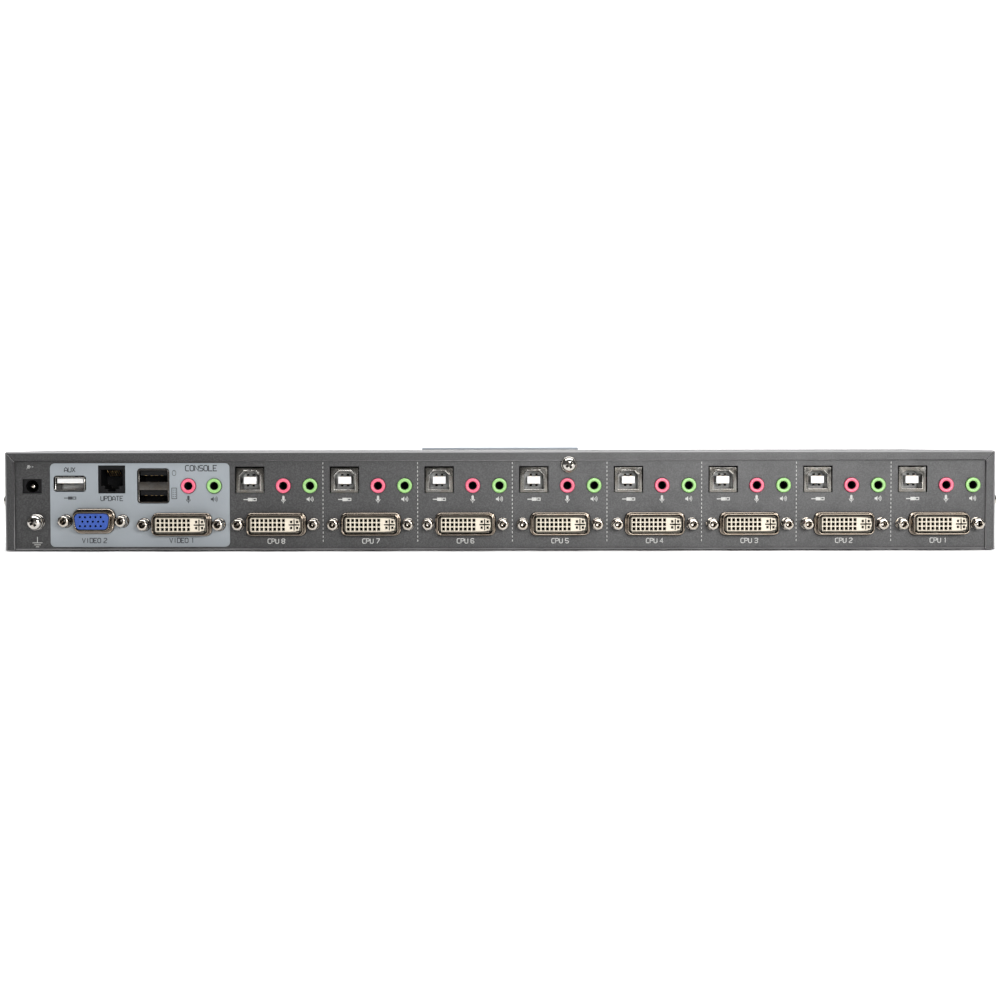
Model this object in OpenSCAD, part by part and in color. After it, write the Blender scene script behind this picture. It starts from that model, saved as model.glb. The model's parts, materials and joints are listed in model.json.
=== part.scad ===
// Rack-width video, USB and audio switch for eight computers and one console.
// Millimetres, +Z up, connectors face +Y, buttons face -Y.
// The origin is the middle of the underside.

/* [Case] */
// Width over the cover's sides
case_w = 437.2; // [436:0.1:440]
// Height from the underside to the top of the cover
case_h = 44; // [43.6:0.1:44.4]
// Depth from the bezel's face to the rear flange
case_d = 164; // [160:1:200]
// Thickness of the steel sheet
sheet_t = 1; // [0.9:0.05:1.1]
// Outer radius of the sheet's bends
bend_r = 1.4; // [1.2:0.1:1.8]
// Width of the cover's rear flange
flange_w = 4.4; // [4:0.1:5]
// Depth of the plastic bezel
bezel_d = 12; // [12:0.5:14]

/* [Rear ports] */
// Number of computer ports
port_count = 8; // [8]
// Distance from one port group to the next
port_pitch = 41.8; // [41.6:0.1:42]
// Edge of the port groups on the console's side
group_edge_x = 120; // [119.6:0.1:120.4]
// Height of the video connectors' centre line
dvi_z = 11.6; // [11.4:0.1:12]
// Height of the audio jacks' centre line
audio_z = 28.65; // [28.6:0.05:28.8]
// How far the video connectors' shells stand out of the panel
dvi_reach = 5.7; // [5:0.1:6]

/* [Front panel] */
// Width of the raised button housing
housing_w = 83; // [82:0.5:90]
// Distance from one button to the next
button_pitch = 9.2; // [9:0.1:9.6]
// Side of a port button
button_w = 6.6; // [6:0.1:7]
// Travel of a button
button_travel = 0.5; // [0.3:0.1:0.5]

/* [Hidden] */
$fn = 32;
eps = 0.5;

rear_y = case_d / 2;
front_y = -rear_y;
panel_y = rear_y - sheet_t;
panel_in_y = panel_y - sheet_t;
bezel_back_y = front_y + bezel_d;
cover_in_x = case_w / 2 - sheet_t;
tray_x = cover_in_x - 0.4;
tray_h = case_h - sheet_t - 0.5;

// Boards: the lower one carries the video connectors, the upper one USB and audio
pcb_t = 1.6;
main_top_z = 5.2;
upper_top_z = 25.5;
board_x = 212;
board_rear_y = panel_in_y - 1.4;
board_front_y = -58;
upper_front_y = 36;
main_stand_x = [-204, -102, 0, 102, 204];
main_stand_y = [-50, 10];
upper_stand_x = [-205, -152, -68, 16, 100, 205];
upper_stand_y = 42;

// Places along one port group, measured from its edge towards -X
usb_b_dx = 9.5;
dvi_dx = 21.1;
mic_dx = 24.3;
speaker_dx = 36.1;

// Console connectors, X and Z of each centre
console_dvi_x = 140.6;
vga_x = 179.2;
vga_z = 13.2;
device_usb_x = 189.9;
device_usb_z = 29.75;
service_x = 171.4;
service_z = 31.6;
stack_x = 153.05;
stack_z = 28.7;
console_mic_x = 137.6;
console_speaker_x = 126.2;
dc_x = 206.6;
dc_z = 28.6;
ground_x = 204.5;
ground_z = 12.8;
rear_screw_x = -30.4;
rear_screw_z = 37.8;

// Console label plate
plate_x0 = 119.4;
plate_x1 = 198.6;
plate_z0 = 1.8;
plate_z1 = 38.7;
plate_t = 0.2;

// Connector sizes
dvi_tube = [24.7, 9.1, 2.2];
dvi_collar = [26.6, 10.2, 2.8];
dvi_collar_t = 1;
shell_wall = 0.45;
dvi_face = [22.8, 7.3, 1.2];
dvi_body_w = 27.6;
dvi_pin_pitch = 1.905;
dvi_pin = [1.15, 1.25];
dvi_first_pin_x = 9.55;
dvi_blade_x = -8.5;
dvi_nut_dx = 16.5;
dvi_flange = [38.8, 11.6];
vga_lean = 8;
vga_tube = [17, 8.4, 2.4];
vga_collar = [19.8, 11, 3.4];
vga_collar_t = 1.8;
vga_face = [15.5, 6.9, 1.9];
vga_pin_pitch = 2.29;
vga_row_pitch = 1.98;
vga_nut_dx = 12.495;
vga_flange = [30.8, 12.5];
vga_body_w = 18.4;
nut_af = 4.76;
nut_reach = 6;
nut_thread_r = 1.13;
nut_seat_r = 2.7;
usb_b_box = [12, 11.1];
usb_b_z = upper_top_z + usb_b_box[1] / 2;
usb_b_rim = [9.6, 9];
usb_b_hole = [8.6, 8];
usb_b_cut_z = [upper_top_z - 0.1, 37.2];
usb_a_box = [13.3, 5.9];
usb_a_hole = [12.5, 5.1];
usb_a_cut = [14.2, 7, 1.4];
stack_box = [13.5, 14.9];
stack_cut = [14.1, 15.4, 1.5];
stack_hole_dz = 4.4;
jack_r = 3.25;
jack_bore_r = 1.8;
jack_bore_depth = 14;
jack_body = [11, 6.3];
service_box = [11.8, 12.2];
dc_box = [8.2, 6.2];
dc_bore_r = 2.75;

// Front: board, button row, lights and reset
front_board_y = bezel_back_y - 3;
housing_t = 2;
housing_y = front_y - housing_t;
housing_top = 1.3;
bezel_t = 2.5;
button_z = 16;
led_z = 25;
led_dx = 1.7;
reset_x = 34;
top_row_z = 35.6;
front_screw_x = 36;
front_screw_z = [9, 30];
reset_r = 1.5;
button_gap = 0.2;
button_proud = 1;
flange_t = 1;
stem_r = 1.75;
switch_face_y = front_board_y - 4.6;
stem_end_y = switch_face_y - button_travel - 0.05;
guide_r = 1;

// Fasteners
side_screw_y = [panel_in_y - 4, 0, bezel_back_y + 12];
side_screw_z = 22;
screw_head_r = 2.75;
screw_shank_r = 1.4;
rack_y = [-54, -22];
rack_z = [11, 33];
rack_hole_r = 1.65;
vent_pitch = 4;
vent_count = 14;
vent_w = 2;
vent_z0 = 12;
vent_z1 = 32;
vent_y0 = 66;
bezel_boss_x = [-190, -80, 80, 190];
bezel_boss_z = 9;

// Ribbon cable: where it rises, and the height at which it runs forward
ribbon_y = -44;
ribbon_z = 18.6;

// ---------- Helpers ----------

// X of a port group's edge on the console's side; port 8 is next to the console
function edge_x(k) = group_edge_x - (port_count - k) * port_pitch;
function dvi_x(k) = edge_x(k) - dvi_dx;
function button_x(k) = (k - (port_count + 1) / 2) * button_pitch;

// Points of an arc, in short straight steps
function arc(cx, cy, r, a0, a1, n = 6) =
    [for (i = [0:n]) let (a = a0 + (a1 - a0) * i / n) [cx + r * cos(a), cy + r * sin(a)]];

// Outline of a rectangle with round corners, about its centre
function round_rect(w, h, r) = concat(
    arc(w / 2 - r, h / 2 - r, r, 0, 90),
    arc(r - w / 2, h / 2 - r, r, 90, 180),
    arc(r - w / 2, r - h / 2, r, 180, 270),
    arc(w / 2 - r, r - h / 2, r, 270, 360)
);

// Outline of a D-shaped connector: round corners, wider at the top, sides that lean by `lean`
function d_outline(w, h, r, lean) =
    let (x_top = w / 2 - r * (1 + sin(lean)) / cos(lean),
         x_bottom = w / 2 - (r + (h - r) * sin(lean)) / cos(lean),
         z = h / 2 - r)
    concat(arc(x_top, z, r, -lean, 90), arc(-x_top, z, r, 90, 180 + lean),
           arc(-x_bottom, -z, r, 180 + lean, 270), arc(x_bottom, -z, r, 270, 360 - lean));

// Outline of a rectangle with its two top corners cut off
function cut_top(w, h, c) = [
    [-w / 2, -h / 2], [w / 2, -h / 2], [w / 2, h / 2 - c],
    [w / 2 - c, h / 2], [c - w / 2, h / 2], [-w / 2, h / 2 - c]
];

// Prism along Y from an outline in X and Z
module y_prism(points, y0, y1) {
    translate([0, y1, 0]) rotate([90, 0, 0]) linear_extrude(y1 - y0) polygon(points);
}

// Prism along X from an outline in Y and Z
module x_prism(points, x0, x1) {
    translate([x0, 0, 0]) rotate([90, 0, 90]) linear_extrude(x1 - x0) polygon(points);
}

// Box from its lowest and highest corners
module box(lo, hi) {
    translate(lo) cube([hi[0] - lo[0], hi[1] - lo[1], hi[2] - lo[2]]);
}

// Box along Y, centred on X = 0 and Z = 0
module y_box(size, y0, y1) {
    box([-size[0] / 2, y0, -size[1] / 2], [size[0] / 2, y1, size[1] / 2]);
}

// Round bar along Y
module y_rod(r, y0, y1) {
    translate([0, y1, 0]) rotate([90, 0, 0]) cylinder(r = r, h = y1 - y0);
}

// Round bar along X
module x_rod(r, x0, x1) {
    translate([x0, 0, 0]) rotate([0, 90, 0]) cylinder(r = r, h = x1 - x0);
}

module at(x, z) {
    translate([x, 0, z]) children();
}

// ---------- Cover and tray ----------

// Outline of the cover's end: flat sides, round top edges, open below
function cover_end(inset, r) =
    let (x = case_w / 2 - inset, z = case_h - inset)
    concat(arc(x - r, z - r, r, 0, 90), arc(r - x, z - r, r, 90, 180), [[-x, -eps], [x, -eps]]);

// Outline of the cover's side: round only at the top rear edge
function cover_side(inset, r) =
    let (y = rear_y - inset, z = case_h - inset)
    concat(arc(y - r, z - r, r, 0, 90), [[front_y - eps, z], [front_y - eps, -eps], [y, -eps]]);

// Plan outline of the cover: round only at the two rear edges
function cover_plan(inset, r) =
    let (x = case_w / 2 - inset, y = rear_y - inset)
    concat(arc(x - r, y - r, r, 0, 90), arc(r - x, y - r, r, 90, 180),
           [[-x, front_y - eps], [x, front_y - eps]]);

// Block with the cover's three sets of bends
module cover_block(inset, r) {
    intersection() {
        y_prism(cover_end(inset, r), front_y, rear_y);
        x_prism(cover_side(inset, r), -case_w / 2, case_w / 2);
        translate([0, 0, -eps]) linear_extrude(case_h + eps) polygon(cover_plan(inset, r));
    }
}

// Screw holes, rack bracket holes and vents through both sides
module side_cuts(screw_r, bracket_r) {
    for (s = [-1, 1]) {
        x0 = s * 220 - 10;
        x1 = x0 + 20;
        for (y = side_screw_y) translate([0, y, side_screw_z]) x_rod(screw_r, x0, x1);
        for (y = rack_y) {
            for (z = rack_z) translate([0, y, z]) x_rod(bracket_r, x0, x1);
        }
        for (i = [0:vent_count - 1]) {
            y = vent_y0 - vent_pitch * i;
            box([x0, y, vent_z0], [x1, y + vent_w, vent_z1]);
        }
    }
}

module top_cover() {
    color([0.42, 0.42, 0.43]) {
        difference() {
            cover_block(0, bend_r);
            cover_block(sheet_t, bend_r - sheet_t);
            box([-case_w, front_y - 1, -1], [case_w, bezel_back_y, case_h + 1]);
            box([-case_w, -case_d, -1], [case_w, case_d, 0.2]);
            // Opening for the rear panel, inside the flange
            box([flange_w - case_w / 2, panel_y - 1, -1],
                [case_w / 2 - flange_w, rear_y + 1, case_h - flange_w]);
            // Mitred gaps where the rear flange's strips meet
            for (s = [-1, 1]) {
                translate([s * (case_w / 2 - flange_w), rear_y, case_h - flange_w])
                    rotate([0, -45 * s, 0])
                        translate([s * 3.4, 0, 0]) cube([7, 2.02, 0.3], center = true);
            }
            side_cuts(1.7, 2.3);
            at(rear_screw_x, rear_screw_z) y_rod(1.7, panel_y - 1, rear_y + 1);
        }
        // Ear that the rear screw holds
        difference() {
            at(rear_screw_x, rear_screw_z) y_rod(3.1, panel_y, rear_y);
            box([rear_screw_x - 4, panel_y - 1, case_h - flange_w],
                [rear_screw_x + 4, rear_y + 1, case_h]);
            at(rear_screw_x, rear_screw_z) y_rod(1.7, panel_y - 1, rear_y + 1);
        }
    }
}

// Outline of the tray's side: round at both bottom edges
function tray_side(inset, r) =
    let (y0 = bezel_back_y + inset, y1 = panel_y - inset)
    concat([[y1, tray_h + inset]], [[y0, tray_h + inset]],
           arc(y0 + r, inset + r, r, 180, 270), arc(y1 - r, inset + r, r, 270, 360));

// Outline of the tray's end: round at both bottom edges
function tray_end(inset, r) =
    let (x = tray_x - inset)
    concat([[x, tray_h + inset]], [[-x, tray_h + inset]],
           arc(r - x, inset + r, r, 180, 270), arc(x - r, inset + r, r, 270, 360));

module tray_block(inset, r) {
    intersection() {
        x_prism(tray_side(inset, r), -tray_x, tray_x);
        y_prism(tray_end(inset, r), bezel_back_y, panel_y);
    }
}

// Panel openings that the console plate shares
module console_openings(y0, y1, gap) {
    at(console_dvi_x, dvi_z) {
        y_prism(round_rect(dvi_collar[0] + gap, dvi_collar[1] + gap, dvi_collar[2]), y0, y1);
        for (s = [-1, 1]) at(s * dvi_nut_dx, 0) y_rod(1.7 + gap, y0, y1);
    }
    at(vga_x, vga_z) {
        y_prism(d_outline(vga_collar[0] + gap, vga_collar[1] + gap, vga_collar[2], vga_lean), y0, y1);
        for (s = [-1, 1]) at(s * vga_nut_dx, 0) y_rod(1.7 + gap, y0, y1);
    }
    at(device_usb_x, device_usb_z)
        y_prism(round_rect(usb_a_cut[0] + gap, usb_a_cut[1] + gap, usb_a_cut[2]), y0, y1);
    at(service_x, service_z) y_box([service_box[0] + gap, service_box[1] + gap], y0, y1);
    at(stack_x, stack_z)
        y_prism(round_rect(stack_cut[0] + gap, stack_cut[1] + gap, stack_cut[2]), y0, y1);
    for (x = [console_mic_x, console_speaker_x]) at(x, audio_z) y_rod(jack_r + 0.15 + gap / 2, y0, y1);
}

module port_openings(k, y0, y1) {
    translate([edge_x(k) - usb_b_dx, 0, 0]) box([-6.5, y0, usb_b_cut_z[0]], [6.5, y1, usb_b_cut_z[1]]);
    at(edge_x(k) - mic_dx, audio_z) y_rod(jack_r + 0.2, y0, y1);
    at(edge_x(k) - speaker_dx, audio_z) y_rod(jack_r + 0.2, y0, y1);
    at(dvi_x(k), dvi_z) {
        y_prism(round_rect(dvi_collar[0] + 0.3, dvi_collar[1] + 0.3, dvi_collar[2]), y0, y1);
        for (s = [-1, 1]) at(s * dvi_nut_dx, 0) y_rod(1.7, y0, y1);
    }
}

module chassis_tray() {
    color([0.42, 0.42, 0.43]) difference() {
        tray_block(0, bend_r);
        tray_block(sheet_t, bend_r - sheet_t);
        console_openings(panel_in_y - 1, panel_y + 1, 0.2);
        for (k = [1:port_count]) port_openings(k, panel_in_y - 1, panel_y + 1);
        at(dc_x, dc_z) y_box([dc_box[0] + 0.2, dc_box[1] + 0.2], panel_in_y - 1, panel_y + 1);
        at(ground_x, ground_z) y_rod(1.6, panel_in_y - 1, panel_y + 1);
        at(rear_screw_x, rear_screw_z) y_rod(1.6, panel_in_y - 1, panel_y + 1);
        // Slot for the ribbon cable and holes for the bezel's screws
        box([-13, bezel_back_y - 1, 15], [13, bezel_back_y + 2, 23]);
        for (x = bezel_boss_x) at(x, bezel_boss_z) y_rod(1.6, bezel_back_y - 1, bezel_back_y + 2);
        for (x = [-front_screw_x, front_screw_x]) {
            for (z = front_screw_z) at(x, z) y_rod(1.5, bezel_back_y - 1, bezel_back_y + 2);
        }
        side_cuts(1.6, rack_hole_r);
    }
}

module console_plate() {
    w = plate_x1 - plate_x0;
    h = plate_z1 - plate_z0;
    color([0.63, 0.66, 0.7]) difference() {
        at(plate_x0 + w / 2, plate_z0 + h / 2) y_prism(round_rect(w, h, 2), panel_y, panel_y + plate_t);
        console_openings(panel_y - 1, panel_y + 1, 0.2);
        // Clear of the washers under the console's hex nuts
        for (s = [-1, 1]) {
            at(console_dvi_x + s * dvi_nut_dx, dvi_z) y_rod(3, panel_y - 1, panel_y + 1);
            at(vga_x + s * vga_nut_dx, vga_z) y_rod(3, panel_y - 1, panel_y + 1);
        }
    }
}

// ---------- Front ----------

module front_bezel() {
    inner_x = case_w / 2 - 2.2;
    color([0.25, 0.25, 0.26]) {
        difference() {
            at(0, case_h / 2 + 0.1) y_prism(round_rect(case_w, case_h - 0.2, 1.6), front_y, bezel_back_y);
            box([-inner_x, front_y + bezel_t, 2.4], [inner_x, bezel_back_y + 1, case_h - 2.2]);
            box([-39.5, front_y - 1, 4], [39.5, front_y + bezel_t + 1, 40]);
        }
        // Bosses for the screws that come through the tray's front wall
        for (x = bezel_boss_x) {
            at(x, bezel_boss_z) difference() {
                y_rod(3.2, front_y + bezel_t, bezel_back_y);
                y_rod(1.5, front_y + bezel_t + 1, bezel_back_y + 1);
            }
        }
    }
}

// Outline of the housing's side: a plate with a lip back over the cover
function housing_side() =
    let (top = case_h + housing_top, r = 2.5)
    concat([[front_y, 1.4], [front_y, case_h], [-68, case_h], [-68, top - 0.6], [-68.6, top]],
           arc(housing_y + r, top - r, r, 90, 180), arc(housing_y + 0.8, 2.2, 0.8, 180, 270));

module button_housing() {
    hw = housing_w / 2;
    button_hole = button_w + 2 * button_gap;
    y0 = housing_y - 1;
    y1 = front_y + 1;
    color([0.5, 0.53, 0.57]) difference() {
        union() {
            x_prism(housing_side(), -hw, hw);
            // Skirt that plugs into the bezel's window
            difference() {
                at(0, 22) y_box([78.6, 35.6], front_y, front_y + bezel_t);
                at(0, 22) y_box([75.6, 32.6], front_y - 1, front_y + bezel_t + 1);
            }
        }
        for (k = [1:port_count]) {
            at(button_x(k), button_z) y_prism(round_rect(button_hole, button_hole, 1.4), y0, y1);
            for (s = [-1, 1]) at(button_x(k) + s * led_dx, led_z) y_rod(guide_r + 0.05, y0, y1);
        }
        at(reset_x, top_row_z) y_rod(reset_r + button_gap, y0, y1);
        at(-reset_x, top_row_z) y_rod(guide_r + 0.05, y0, y1);
    }
}

module port_button(k) {
    color([0.8, 0.82, 0.84]) at(button_x(k), button_z) {
        y_prism(round_rect(button_w, button_w, 1.2), housing_y - button_proud, front_y);
        y_prism(round_rect(button_w + 1.6, button_w + 1.6, 1.2), front_y, front_y + flange_t);
        y_rod(stem_r, front_y + flange_t, stem_end_y);
    }
}

module reset_button() {
    color([0.2, 0.2, 0.21]) at(reset_x, top_row_z) {
        y_rod(reset_r, housing_y + 0.3, front_y);
        y_rod(reset_r + 0.8, front_y, front_y + flange_t);
        y_rod(1.1, front_y + flange_t, stem_end_y);
    }
}

module tact_switch() {
    y_box([6, 6], switch_face_y + 0.4, front_board_y);
    y_rod(1.7, switch_face_y, switch_face_y + 0.4);
}

module tact_switches() {
    color([0.12, 0.12, 0.12]) {
        for (k = [1:port_count]) at(button_x(k), button_z) tact_switch();
        at(reset_x, top_row_z) tact_switch();
    }
}

// Places of the light guides and of the lights behind them
function light_places() = concat(
    [for (k = [1:port_count]) for (s = [-1, 1]) [button_x(k) + s * led_dx, led_z]],
    [[-reset_x, top_row_z]]
);

module light_guides() {
    color([0.85, 0.9, 0.88]) for (p = light_places()) {
        at(p[0], p[1]) {
            y_rod(guide_r, housing_y - 0.1, front_board_y - 2.1);
            y_rod(1.5, front_y, front_y + 1.2);
        }
    }
}

module indicator_leds() {
    color([0.9, 0.9, 0.8]) for (p = light_places()) {
        at(p[0], p[1]) y_box([2, 3.2], front_board_y - 2, front_board_y);
    }
}

// ---------- Boards ----------

module main_board() {
    color([0.1, 0.35, 0.2]) difference() {
        box([-board_x, board_front_y, main_top_z - pcb_t], [board_x, board_rear_y, main_top_z]);
        for (x = main_stand_x) {
            for (y = main_stand_y) translate([x, y, 0]) cylinder(r = 1.6, h = 10);
        }
        for (x = upper_stand_x) translate([x, upper_stand_y, 0]) cylinder(r = 1.6, h = 10);
    }
}

module upper_board() {
    color([0.1, 0.35, 0.2]) difference() {
        box([-board_x, upper_front_y, upper_top_z - pcb_t], [board_x, board_rear_y, upper_top_z]);
        // Notch for the stacked USB connector, which sits lower
        box([stack_x - 7.2, 60, upper_top_z - 5], [stack_x + 7.2, board_rear_y + 1, upper_top_z + 5]);
        for (x = upper_stand_x) translate([x, upper_stand_y, 20]) cylinder(r = 1.6, h = 10);
    }
}

module front_board() {
    color([0.1, 0.35, 0.2]) difference() {
        box([-38.5, front_board_y, 6], [38.5, front_board_y + pcb_t, 39]);
        for (x = [-front_screw_x, front_screw_x]) {
            for (z = front_screw_z) at(x, z) y_rod(1.5, front_board_y - 1, front_board_y + 3);
        }
    }
}

// Hexagonal pillar along Z with a hole through it
module pillar(z0, z1) {
    translate([0, 0, z0]) difference() {
        cylinder(r = 2.9, h = z1 - z0, $fn = 6);
        translate([0, 0, -1]) cylinder(r = 1.3, h = z1 - z0 + 2);
    }
}

module board_standoffs() {
    color([0.78, 0.66, 0.35]) {
        for (x = main_stand_x) {
            for (y = main_stand_y) translate([x, y, 0]) pillar(sheet_t, main_top_z - pcb_t);
        }
        for (x = upper_stand_x) {
            translate([x, upper_stand_y, 0]) pillar(sheet_t, main_top_z - pcb_t);
            translate([x, upper_stand_y, 0]) pillar(main_top_z, upper_top_z - pcb_t);
        }
        for (x = [-front_screw_x, front_screw_x]) {
            for (z = front_screw_z) at(x, z) difference() {
                y_rod(2.4, front_board_y + pcb_t, bezel_back_y);
                y_rod(1.4, front_board_y, bezel_back_y + 1);
            }
        }
    }
}

// Pan-head screw along Z, its head's underside at Z = 0
module pan_screw_z(head_r, head_h, shank_r, length) {
    difference() {
        union() {
            cylinder(r = head_r, h = head_h * 0.6);
            translate([0, 0, head_h * 0.6]) cylinder(r1 = head_r, r2 = head_r * 0.6, h = head_h * 0.4);
            translate([0, 0, -length]) cylinder(r = shank_r, h = length + 0.1);
        }
        // Cross recess
        for (a = [0, 90]) {
            rotate([0, 0, a + 20])
                translate([-head_r * 0.6, -head_r * 0.11, head_h * 0.4])
                    cube([head_r * 1.2, head_r * 0.22, head_h]);
        }
    }
}

module board_screws() {
    color([0.75, 0.75, 0.76]) {
        for (x = main_stand_x) {
            for (y = main_stand_y) translate([x, y, main_top_z]) pan_screw_z(2.6, 1.8, 1.2, 4);
        }
        for (x = upper_stand_x) translate([x, upper_stand_y, upper_top_z]) pan_screw_z(2.6, 1.8, 1.2, 8);
        for (x = [-front_screw_x, front_screw_x]) {
            for (z = front_screw_z) {
                translate([x, front_board_y, z]) rotate([90, 0, 0]) pan_screw_z(2.4, 1.6, 1.25, 4);
            }
        }
    }
}

// Flat cable from the front board, through the tray's slot, down to the main board
module ribbon_cable() {
    t = 0.9;
    y_front = front_board_y + pcb_t;
    color([0.75, 0.75, 0.76]) {
        x_prism([[ribbon_y, 10], [ribbon_y, ribbon_z + t], [y_front, ribbon_z + t], [y_front, ribbon_z],
                 [ribbon_y - t, ribbon_z], [ribbon_y - t, 10]], -10, 10);
        // Connector on the main board
        box([-12, ribbon_y - 2.9, main_top_z], [12, ribbon_y + 2, 10]);
    }
}

module chip(x, y, z, side, h) {
    translate([x - side / 2, y - side / 2, z]) cube([side, side, h]);
}

module switch_chips() {
    color([0.09, 0.09, 0.1]) {
        for (k = [1:port_count]) {
            chip(dvi_x(k), 26, main_top_z, 14, 1.6);
            chip(dvi_x(k) - 14, 30, main_top_z, 6, 1.2);
            chip(dvi_x(k), 50, upper_top_z, 9, 1.2);
        }
        for (x = [-60, 60]) chip(x, -18, main_top_z, 26, 2.2);
        chip(0, -14, main_top_z, 18, 1.8);
        chip(150, -30, main_top_z, 12, 2);
    }
}

// Finned blocks on the two large crosspoint chips
module heatsinks() {
    color([0.2, 0.2, 0.22]) for (x = [-60, 60]) {
        translate([x, -18, main_top_z + 2.2]) difference() {
            translate([-15, -15, 0]) cube([30, 30, 10]);
            for (i = [0:5]) translate([-12.2 + i * 4.4, -16, 2]) cube([2.4, 32, 9]);
        }
    }
}

module capacitors() {
    color([0.7, 0.72, 0.76]) {
        for (x = [172, 184, 196]) translate([x, 20, main_top_z]) cylinder(r = 4, h = 12);
        for (i = [0:5]) translate([-190 + 9 * i, -40, main_top_z]) cylinder(r = 3.1, h = 7.5);
        for (i = [0:3]) translate([120 + 9 * i, -48, main_top_z]) cylinder(r = 3.1, h = 7.5);
    }
}

// ---------- Video connectors ----------

// Drawn metal tube with a collar in the panel and a flange behind it, with holes for two nuts
module drawn_shell(tube, collar, collar_t, flange, nut_dx, lean = 0) {
    y0 = panel_in_y - 1;
    y1 = panel_y + dvi_reach;
    wall = 2 * shell_wall;
    difference() {
        union() {
            y_prism(d_outline(tube[0], tube[1], tube[2], lean), y0, y1);
            y_prism(d_outline(collar[0], collar[1], collar[2], lean), y0, panel_y + collar_t);
            y_box(flange, y0, panel_in_y);
        }
        y_prism(d_outline(tube[0] - wall, tube[1] - wall, tube[2] - shell_wall, lean), y0 - 1, y1 + 1);
        for (s = [-1, 1]) at(s * nut_dx, 0) y_rod(1.6, y0 - 1, panel_in_y + 1);
    }
}

module dvi_shell_at(x) {
    at(x, dvi_z) color([0.78, 0.76, 0.72]) {
        drawn_shell(dvi_tube, dvi_collar, dvi_collar_t, dvi_flange, dvi_nut_dx);
        // Cover folded back over the plastic body
        difference() {
            y_box([dvi_body_w + 0.8, dvi_flange[1]], panel_in_y - 14, panel_in_y - 1);
            box([-dvi_body_w / 2, panel_in_y - 15, -dvi_flange[1] / 2 - 1],
                [dvi_body_w / 2, panel_in_y, dvi_flange[1] / 2 - 0.4]);
        }
    }
}

// Plastic body with its contact openings: 24 square ones, four analogue ones and a crossed blade
module dvi_insert_at(x) {
    face_y = panel_y + dvi_reach - 0.4;
    pocket_y = face_y - 2.5;
    bottom = main_top_z - dvi_z;
    at(x, dvi_z) color([0.95, 0.93, 0.87]) difference() {
        union() {
            y_prism(round_rect(dvi_face[0], dvi_face[1], dvi_face[2]), panel_in_y - 1, face_y);
            box([-dvi_body_w / 2, panel_in_y - 13.6, bottom],
                [dvi_body_w / 2, panel_in_y - 1, dvi_flange[1] / 2 - 0.4]);
        }
        for (i = [0:7]) {
            x = dvi_first_pin_x - i * dvi_pin_pitch;
            for (j = [-1:1]) at(x, j * dvi_pin_pitch) y_box(dvi_pin, pocket_y, face_y + 1);
        }
        for (i = [-1, 1]) {
            x = dvi_blade_x + i * 1.3;
            for (j = [-1, 1]) at(x, j * 1.33) y_box([0.85, 0.95], pocket_y, face_y + 1);
        }
        at(dvi_blade_x, 0) {
            y_box([4.5, 0.4], pocket_y, face_y + 1);
            y_box([0.25, 4.6], face_y - 0.4, face_y + 1);
        }
    }
}

module vga_shell() {
    at(vga_x, vga_z) color([0.78, 0.76, 0.72])
        drawn_shell(vga_tube, vga_collar, vga_collar_t, vga_flange, vga_nut_dx, vga_lean);
}

module vga_insert() {
    face_y = panel_y + dvi_reach - 0.3;
    at(vga_x, vga_z) color([0.2, 0.38, 0.85]) difference() {
        union() {
            y_prism(d_outline(vga_face[0], vga_face[1], vga_face[2], vga_lean), panel_in_y - 1, face_y);
            box([-vga_body_w / 2, panel_in_y - 12, main_top_z - vga_z],
                [vga_body_w / 2, panel_in_y - 1, vga_flange[1] / 2 - 0.5]);
        }
        // Three rows of five, the middle row half a pitch over
        for (j = [-1:1]) {
            for (i = [-2:2]) {
                at((i - 0.25 * (j == 0 ? 1 : -1)) * vga_pin_pitch, j * vga_row_pitch)
                    translate([0, face_y + 1, 0]) rotate([90, 0, 0]) cylinder(r = 0.5, h = 3.5, $fn = 12);
            }
        }
    }
}

// Hex nut with a round seat, a tapped hole and a shank through the panel
module jackscrew(seat_y) {
    tip = panel_y + nut_reach;
    difference() {
        union() {
            translate([0, tip - 0.6, 0]) rotate([90, 0, 0])
                cylinder(r = nut_af / sqrt(3), h = tip - 0.6 - seat_y, $fn = 6);
            y_rod(nut_seat_r, seat_y, seat_y + 0.8);
            translate([0, tip - 0.6, 0]) rotate([-90, 0, 0]) cylinder(r1 = nut_af / 2, r2 = 1.9, h = 0.6);
            y_rod(1.4, panel_in_y - 4, seat_y + 1);
        }
        y_rod(nut_thread_r, tip - 5, tip + 1);
    }
}

module jackscrews() {
    color([0.8, 0.78, 0.74]) {
        for (s = [-1, 1]) {
            for (k = [1:port_count]) at(dvi_x(k) + s * dvi_nut_dx, dvi_z) jackscrew(panel_y);
            at(console_dvi_x + s * dvi_nut_dx, dvi_z) jackscrew(panel_y);
            at(vga_x + s * vga_nut_dx, vga_z) jackscrew(panel_y);
        }
    }
}

// ---------- USB, audio, service and power connectors ----------

module usb_b_shells() {
    color([0.7, 0.69, 0.67]) for (k = [1:port_count]) {
        at(edge_x(k) - usb_b_dx, usb_b_z) difference() {
            union() {
                y_box(usb_b_box, panel_in_y - 14, panel_y - 0.3);
                y_prism(cut_top(usb_b_rim[0], usb_b_rim[1], 2), panel_y - 0.3, panel_y + 0.1);
            }
            y_prism(cut_top(usb_b_hole[0], usb_b_hole[1], 1.7), panel_y - 10, panel_y + 1);
            y_box([usb_b_box[0] - 1, usb_b_box[1] - 1], panel_in_y - 15, panel_y - 10);
        }
    }
}

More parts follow.
